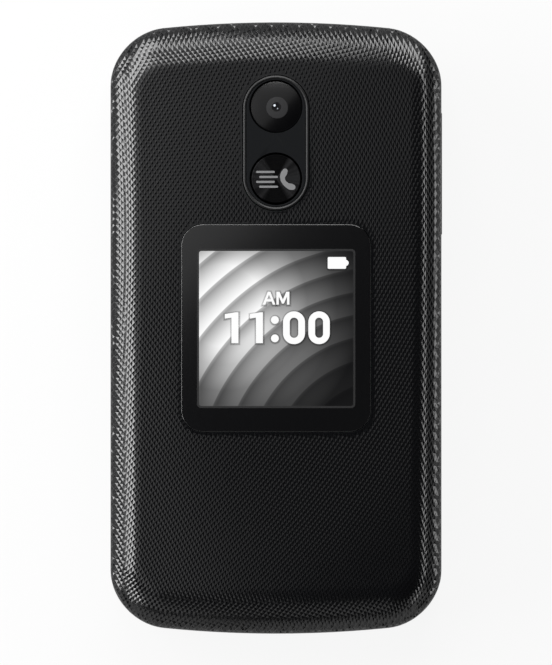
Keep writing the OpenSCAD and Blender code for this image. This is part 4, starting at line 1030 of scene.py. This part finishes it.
def makeRocker():
    r = rocker
    rings = []

    def ring(length, height, x, dip=0.0):
        loop = roundedLoop(length, height, height / 2 - 0.01, (r["y"], r["z"]), 8)
        return [(x - dip * math.exp(-((y - r["y"]) / 3.2) ** 2), y, z) for y, z in loop]
    rings.append(ring(r["length"] + 1, r["height"] + 0.6, r["inner"]))
    rings.append(ring(r["length"] + 1, r["height"] + 0.6, r["flange"]))
    rings.append(ring(r["length"], r["height"], r["flange"]))
    for k, (inward, climb) in enumerate(quarterTurn(4, 0)):
        inset = r["edge"] * inward
        rings.append(ring(r["length"] - 2 * inset, r["height"] - 2 * inset, r["outer"] - r["edge"] * climb,
                          r["dip"] * k / 4))
    rings.append(ring(r["length"] - 1.6, r["height"] - 1.6, r["outer"], r["dip"]))
    bar = loft(rings)
    pads = []
    for end in (-1, 1):
        around = circleLoop(r["padRadius"], (r["y"] + end * r["padReach"], r["z"]), 24)
        pads.append(loft([[(x, y, z) for y, z in around] for x in (r["padLow"], r["inner"] + 0.1)]))
    points, faces = joined(bar, *pads)
    bar = newMesh("volumeRockerBar", points, faces)
    finishPiece(bar, rockerSatin, "volume_rocker", ["volume_rocker"], 40)
    plus = [strokeLoop([(r["y"] + 7.6 - 0.6, r["z"]), (r["y"] + 7.6 + 0.6, r["z"])], [0.1, 0.1]),
            strokeLoop([(r["y"] - 7.6 - 0.6, r["z"]), (r["y"] - 7.6 + 0.6, r["z"])], [0.1, 0.1])]
    upright = [strokeLoop([(r["y"] + 7.6, r["z"] - 0.6), (r["y"] + 7.6, r["z"] + 0.6)], [0.1, 0.1])]
    for name, loops in (("rockerMarkBars", plus), ("rockerMarkUpright", upright)):
        mark = turnedToSide(plate(name, loops, r["outer"] - 0.03, r["markX"] + 0.001, 0.004))
        finishPiece(mark, legendGrey, "volume_rocker")


rockerSatin = mouldedPlastic("rockerSatin", (0.012, 0.012, 0.013), (0.05, 0.05, 0.052), 0.34,
                             grainScale=7000.0, grainDepth=0.002, wear=0.5)
makeRocker()
print("volume rocker ready")


# Keys: crowned caps with printed legends
keyCaps = {"flange": 0.35, "flangeHeight": 0.35, "corner": 2.0, "edge": 0.28, "crown": 0.16, "shoulder": 1.5,
           "legend": 0.02, "digitHeight": 3.2, "letterHeight": 1.15}
digitKeys = {"key_1": ("1", ""), "key_2": ("2", "ABC"), "key_3": ("3", "DEF"), "key_4": ("4", "GHI"),
             "key_5": ("5", "JKL"), "key_6": ("6", "MNO"), "key_7": ("7", "PQRS"), "key_8": ("8", "TUV"),
             "key_9": ("9", "WXYZ"), "key_star": ("*", ""), "key_0": ("0", "+"), "key_hash": ("#", "")}


def makeKeyCap(node, material):
    box = nodeBox(node)
    caps = keyCaps
    low, top = box["low"].z, box["high"].z - caps["legend"]
    centre = (box["centre"].x, box["centre"].y)
    width, height = box["size"].x - 2 * caps["flange"], box["size"].y - 2 * caps["flange"]

    def ring(inset, z):
        radius = max(0.25, min(caps["corner"], height / 2 - 0.3) - inset)
        return [(x, y, z) for x, y in roundedLoop(width - 2 * inset, height - 2 * inset, radius, centre, 8)]
    side = top - caps["crown"] - caps["edge"]
    rings = [ring(-caps["flange"], low), ring(-caps["flange"], low + caps["flangeHeight"]),
             ring(0, low + caps["flangeHeight"]), ring(0, side)]
    rings += [ring(caps["edge"] * inward, side + caps["edge"] * (1 - climb))
              for inward, climb in quarterTurn(4)]
    shoulder = min(caps["shoulder"], height / 2 - 0.6)
    for k in range(1, 6):
        t = k / 5
        rings.append(ring(caps["edge"] + (shoulder - caps["edge"]) * t, top - caps["crown"] * (1 - t) ** 2))
    points, faces = loft(rings)
    cap = newMesh(node + "_cap", points, faces)
    return finishPiece(cap, material, node, [node], 50)


def printOn(node, piece, material):
    return finishPiece(piece, material, node)


def makeDigitKeys():
    for node, (digit, letters) in digitKeys.items():
        makeKeyCap(node, keySatin)
        box = nodeBox(node)
        x, y, top = box["centre"].x, box["centre"].y, box["high"].z
        low = top - keyCaps["legend"] - 0.02
        tall = keyCaps["digitHeight"]
        places = {"*": (None, 2.2, (x, y)), "#": (None, 2.9, (x, y))}
        width, height, place = places.get(digit, (None, tall, (x - (2.6 if letters else 0), y)))
        mark = lettering(node + "_digit", digit, width, height, place, low, top, grow=0.12)
        printOn(node, mark, legendWhite)
        if letters:
            small = keyCaps["letterHeight"]
            mark = lettering(node + "_letters", letters, None, small, (x + 2.6, y), low, top, 1.1, grow=0.06)
            printOn(node, mark, legendWhite)


def handsetLoop(centre, size, turn):
    # Telephone handset seen from the side, turned about its middle
    a, b, c = Vector((-0.9, 0.55)), Vector((0, -1.05)), Vector((0.9, 0.55))
    cosine, sine = math.cos(turn), math.sin(turn)
    path = []
    for k in range(17):
        t = k / 16
        p = a * (1 - t) ** 2 + b * 2 * t * (1 - t) + c * t * t
        path.append((centre[0] + size * (p.x * cosine - p.y * sine),
                     centre[1] + size * (p.x * sine + p.y * cosine)))
    widths = [size * (0.34 - 0.14 * math.sin(math.pi * min(1, min(k, 16 - k) / 8))) for k in range(17)]
    return strokeLoop(path, widths)


def makeSideKeys():
    for node in ("left_soft_key", "right_soft_key", "send_key", "end_key", "clear_key"):
        makeKeyCap(node, keySatin)
    legendLow = -keyCaps["legend"] - 0.02

    def legend(node, name, loops, material):
        box = nodeBox(node)
        top = box["high"].z
        x, y = box["centre"].x, box["centre"].y
        placed = [[(px + x, py + y) for px, py in loop] for loop in loops]
        printOn(node, plate(name, placed, top + legendLow, top, 0.004), material)
    for node in ("left_soft_key", "right_soft_key"):
        legend(node, node + "_bar", [strokeLoop([(-1.5, 0), (1.5, 0)], [0.22, 0.22])], legendWhite)
    legend("send_key", "send_key_handset", [handsetLoop((0, 0.2), 2.0, 0.75)], legendGreen)
    legend("end_key", "end_key_handset", [handsetLoop((0, 1.0), 2.0, math.pi)], legendRed)
    power = [(0.95 * math.cos(a), -1.9 + 0.95 * math.sin(a))
             for a in [math.radians(130 + 280 * k / 20) for k in range(21)]]
    legend("end_key", "end_key_power", [strokeLoop(power, [0.14] * 21),
                                        strokeLoop([(0, -1.75), (0, -0.75)], [0.14, 0.14])], legendRed)
    box = nodeBox("clear_key")
    printOn("clear_key", lettering("clear_key_mark", "CLEAR", None, 1.3, (box["centre"].x, box["centre"].y),
                                   box["high"].z + legendLow, box["high"].z, 1.08, grow=0.06), legendWhite)


# Navigation ring and its middle key
navRing = {"outer": 12.0, "flange": 12.35, "bore": 5.7, "y": 20.0, "low": 8.45, "flangeTop": 8.8,
           "edgeTop": 9.86, "top": 10.08, "edge": 0.25, "markAt": 9.5}
okCap = {"radius": 5.2, "low": 8.45, "top": 10.08, "dish": 0.22, "edge": 0.3}


def makeNavigation():
    n = navRing
    profile = [(n["bore"], n["low"]), (n["flange"], n["low"]), (n["flange"], n["flangeTop"]),
               (n["outer"], n["flangeTop"]), (n["outer"], n["edgeTop"] - n["edge"])]
    profile += [(n["outer"] - n["edge"] * inward, n["edgeTop"] - n["edge"] * climb)
                for inward, climb in quarterTurn(4)]
    start, end = n["outer"] - n["edge"], n["bore"] + n["edge"]
    for k in range(1, 13):
        t = k / 12
        profile.append((start + (end - start) * t,
                        n["edgeTop"] + (n["top"] - n["edgeTop"]) * math.sin(math.pi * t)))
    profile += [(end - n["edge"] * (1 - climb), n["edgeTop"] - n["edge"] * inward)
                for inward, climb in quarterTurn(4)]
    points, faces = lathe(profile, (0, n["y"]), 120, closed=True)
    ring = newMesh("navigationRing", points, faces)
    finishPiece(ring, spunMetal, "nav_ring", ["nav_ring"], 45)
    arrows = []
    for k in range(4):
        a = math.radians(90 * k)
        reach = Vector((math.cos(a), math.sin(a)))
        across = Vector((-reach.y, reach.x))
        tip = reach * (n["markAt"] + 0.55)
        base = reach * (n["markAt"] - 0.35)
        arrows.append([(p.x, p.y + n["y"]) for p in (tip, base + across * 0.85, base - across * 0.85)])
    marks = plate("navigationMarks", arrows, n["top"] - 0.14, n["top"] + 0.015, 0.004)
    finishPiece(marks, legendDark, "nav_ring")
    c = okCap
    profile = [(0.0, c["low"]), (c["radius"], c["low"]), (c["radius"], c["top"] - c["edge"])]
    profile += [(c["radius"] - c["edge"] * inward, c["top"] - c["edge"] * climb)
                for inward, climb in quarterTurn(4)]
    rim = c["radius"] - c["edge"] - 0.15
    for k in range(12, -1, -1):
        r = rim * k / 12
        profile.append((r, c["top"] - c["dish"] * (1 - (r / rim) ** 2)))
    points, faces = lathe(profile, (0, n["y"]), 96)
    finishPiece(newMesh("okKeyCap", points, faces), keySatin, "ok_key", ["ok_key"], 40)
    mark = lettering("okKeyMark", "OK", None, 1.9, (0, n["y"]), c["top"] - c["dish"] - 0.02,
                     c["top"] - c["dish"] + 0.06, 1.05, grow=0.1)
    finishPiece(mark, legendWhite, "ok_key")


def spunFinish(name, colour, roughness, centreY):
    # Metal turned on a lathe: fine rings about one centre
    material, tree, shader = newMaterial(name)
    place = addNode(tree, "ShaderNodeTexCoord")
    shift = addNode(tree, "ShaderNodeMapping")
    shift.inputs["Location"].default_value = (0, -centreY * metre, 0)
    tree.links.new(place.outputs["Object"], shift.inputs["Vector"])
    rings = addNode(tree, "ShaderNodeTexWave", wave_type="RINGS", rings_direction="Z", Scale=1100.0,
                    Distortion=1.0, Detail=2.0)
    tree.links.new(shift.outputs["Vector"], rings.inputs["Vector"])
    grain = placeGroup(tree, mouldGrain, Scale=5000.0)
    edges = placeGroup(tree, edgeWear, Amount=0.4)
    body = mixColours(tree, rings.outputs["Fac"], tuple(c * 0.8 for c in colour), colour)
    body = mixColours(tree, edges.outputs["Mask"], body, tuple(min(1, c * 1.35) for c in colour))
    tree.links.new(body, shader.inputs["Base Color"])
    tree.links.new(mapRange(tree, grain.outputs["Height"], roughness - 0.07, roughness + 0.07),
                   shader.inputs["Roughness"])
    shader.inputs["Metallic"].default_value = 1.0
    addBump(tree, shader, rings.outputs["Fac"], 0.004)
    return material


keySatin = mouldedPlastic("keySatin", (0.018, 0.0185, 0.020), (0.06, 0.06, 0.063), 0.38, 6500.0, 0.002, 0.5)
legendWhite = printedInk("legendWhite", (0.72, 0.73, 0.74), (0.8, 0.8, 0.8))
legendGreen = printedInk("legendGreen", (0.03, 0.42, 0.10), (0.1, 0.5, 0.2))
legendRed = printedInk("legendRed", (0.60, 0.03, 0.03), (0.7, 0.1, 0.1))
legendDark = printedInk("legendDark", (0.02, 0.02, 0.02), (0.05, 0.05, 0.05))
spunMetal = spunFinish("spunMetal", (0.34, 0.35, 0.37), 0.32, navRing["y"])
makeDigitKeys()
makeSideKeys()
makeNavigation()
print("keypad ready")


# Inner display: its window and the dark panel that shows through
innerWindow = {"width": 53.0, "length": 75.0, "corner": 2.0, "y": -6.5, "low": 10.402, "top": 11.25,
               "edge": 0.12, "panelWidth": 43.2, "panelLength": 57.6, "panelY": -6.0, "panelLow": 10.397}


def makeInnerDisplay():
    w = innerWindow
    glass = plate("innerWindowGlass", [roundedLoop(w["width"], w["length"], w["corner"], (0, w["y"]), 8)],
                  w["low"], w["top"], w["edge"], 3)
    finishPiece(glass, innerGlass, "lid", ["main_display_window"], 40)
    around = roundedLoop(w["panelWidth"], w["panelLength"], 0.4, (0, w["panelY"]), 4)
    panel = plate("innerPicturePanel", [around], w["panelLow"], w["low"] + 0.05, 0.001)
    finishPiece(panel, panelDark, "lid")


innerGlass = glossBlack("innerGlass", (0.004, 0.004, 0.0045), 0.06, 0.04)
panelDark = glossBlack("panelDark", (0.010, 0.011, 0.014), 0.07, 0.04)
makeInnerDisplay()
print("inner display ready")


# Finishes of the pieces that keep their CAD shape
def boardFinish():
    # Solder mask over copper lines, with small plated pads
    material, tree, shader = newMaterial("solderMask")
    place = addNode(tree, "ShaderNodeTexCoord")
    lines = addNode(tree, "ShaderNodeTexBrick", Scale=420.0, offset=0.35)
    lines.inputs["Mortar Size"].default_value = 0.035
    pads = addNode(tree, "ShaderNodeTexVoronoi", Scale=650.0)
    for texture in (lines, pads):
        tree.links.new(place.outputs["Object"], texture.inputs["Vector"])
    mask = mixColours(tree, lines.outputs["Fac"], (0.010, 0.085, 0.040), (0.022, 0.16, 0.075))
    pad = mathNode(tree, "LESS_THAN", pads.outputs["Distance"], 0.16)
    tree.links.new(mixColours(tree, pad, mask, (0.62, 0.50, 0.24)), shader.inputs["Base Color"])
    tree.links.new(mathNode(tree, "MULTIPLY", pad, 0.9), shader.inputs["Metallic"])
    tree.links.new(mapRange(tree, lines.outputs["Fac"], 0.38, 0.30), shader.inputs["Roughness"])
    addBump(tree, shader, lines.outputs["Fac"], 0.02)
    return material


def sleeveFinish():
    # Printed film round the cell, with soft creases
    material, tree, shader = newMaterial("cellSleeve")
    place = addNode(tree, "ShaderNodeTexCoord")
    creases = addNode(tree, "ShaderNodeTexNoise", Scale=160.0, Detail=4.0, Distortion=1.2)
    tree.links.new(place.outputs["Object"], creases.inputs["Vector"])
    grain = placeGroup(tree, mouldGrain, Scale=4000.0, Drift=0.6)
    edges = placeGroup(tree, edgeWear, Amount=0.6)
    body = mixColours(tree, grain.outputs["Tone"], (0.055, 0.06, 0.068), (0.085, 0.09, 0.10))
    tree.links.new(mixColours(tree, edges.outputs["Mask"], body, (0.3, 0.3, 0.31)),
                   shader.inputs["Base Color"])
    tree.links.new(mapRange(tree, creases.outputs["Fac"], 0.28, 0.46), shader.inputs["Roughness"])
    addBump(tree, shader, creases.outputs["Fac"], 0.05)
    return material


def flexFinish():
    # Amber film with copper lines running along it
    material, tree, shader = newMaterial("amberFlex")
    place = addNode(tree, "ShaderNodeTexCoord")
    lines = addNode(tree, "ShaderNodeTexWave", bands_direction="X", Scale=900.0)
    tree.links.new(place.outputs["Object"], lines.inputs["Vector"])
    body = mixColours(tree, lines.outputs["Fac"], (0.36, 0.15, 0.035), (0.52, 0.27, 0.10))
    tree.links.new(body, shader.inputs["Base Color"])
    tree.links.new(mapRange(tree, lines.outputs["Fac"], 0.42, 0.28), shader.inputs["Roughness"])
    addBump(tree, shader, lines.outputs["Fac"], 0.01)
    return material


shellMatt = mouldedPlastic("shellMatt", (0.0105, 0.0107, 0.0115), (0.05, 0.05, 0.053), 0.42,
                           grainScale=7000.0, grainDepth=0.004, wear=0.35)
frameMatt = mouldedPlastic("frameMatt", (0.0115, 0.0118, 0.0125), (0.05, 0.05, 0.053), 0.40,
                           grainScale=7000.0, grainDepth=0.003, wear=0.35)
doorMatt = mouldedPlastic("doorMatt", (0.0098, 0.0100, 0.0108), (0.05, 0.05, 0.053), 0.46,
                          grainScale=5500.0, grainDepth=0.006, wear=0.35)
partBlack = mouldedPlastic("partBlack", (0.016, 0.016, 0.017), (0.07, 0.07, 0.07), 0.45, 6000.0, 0.003, 0.4)
softRubber = mouldedPlastic("softRubber", (0.045, 0.046, 0.048), (0.08, 0.08, 0.08), 0.75, 5000.0, 0.006, 0.2)
steelSheet = brushedMetal("steelSheet", (0.52, 0.53, 0.55), 0.30)
steelScrew = brushedMetal("steelScrew", (0.42, 0.43, 0.45), 0.28, 8.0, 500.0)
hingeSteel = brushedMetal("hingeSteel", (0.48, 0.49, 0.51), 0.24, 3.0, 600.0)
darkMesh = brushedMetal("darkMesh", (0.10, 0.10, 0.105), 0.38, 4.0, 900.0)
goldPlate = brushedMetal("goldPlate", (0.75, 0.55, 0.22), 0.22, 10.0, 400.0)
displayBack = brushedMetal("displayBack", (0.22, 0.225, 0.235), 0.34, 6.0, 300.0, 0.8)
finishesByNode = {
    partBlack: ["headphone_jack", "camera_module"],
    softRubber: ["keypad_mat", "lid_bumpers"],
    steelSheet: ["dome_sheet", "shield_can", "card_socket", "usb_port", "microphone", "vibration_motor",
                 "loudspeaker", "earpiece", "lid_magnet"],
    steelScrew: ["base_screws", "lid_screws"],
    hingeSteel: ["hinge_can", "hinge_spring", "hinge_cam", "hinge_shaft", "hinge_bushing",
                 "vibration_weight"],
    darkMesh: ["earpiece_mesh"],
    goldPlate: ["battery_contacts"],
    displayBack: ["main_display_module", "sub_display_module"],
    boardFinish(): ["main_pcb", "lid_pcb", "volume_switches"],
    sleeveFinish(): ["battery"],
    flexFinish(): ["lid_flex"],
}


def smoothCopy(node, body, material):
    # Same shape as the CAD piece, with its curves shaded as curves
    source = bpy.data.objects[node]
    mesh = source.data.copy()
    mesh.transform(source.matrix_world)
    bm = bmesh.new()
    bm.from_mesh(mesh)
    bmesh.ops.remove_doubles(bm, verts=bm.verts, dist=0.0000005)
    bm.to_mesh(mesh)
    bm.free()
    mesh.name = node + "_smooth"
    piece = bpy.data.objects.new(node + "_smooth", mesh)
    bpy.context.scene.collection.objects.link(piece)
    finishPiece(piece, material, body, [node], 32)
    evened = piece.modifiers.new("evened", "WEIGHTED_NORMAL")
    evened.keep_sharp = True
    return piece


for node, body, slot, material in (("base_front_housing", "keypad_half", "dark_shell", shellMatt),
                                   ("base_rear_housing", "keypad_half", "dark_shell", shellMatt),
                                   ("battery_door", "battery_door", "dark_shell", doorMatt),
                                   ("lid_inner_frame", "lid", "dark_shell", frameMatt)):
    smoothCopy(node, body, material)
for finish, nodes in finishesByNode.items():
    for node in nodes:
        for place in bpy.data.objects[node].material_slots:
            place.material = finish
print("carried-over pieces have their finishes")


print("pieces finished")
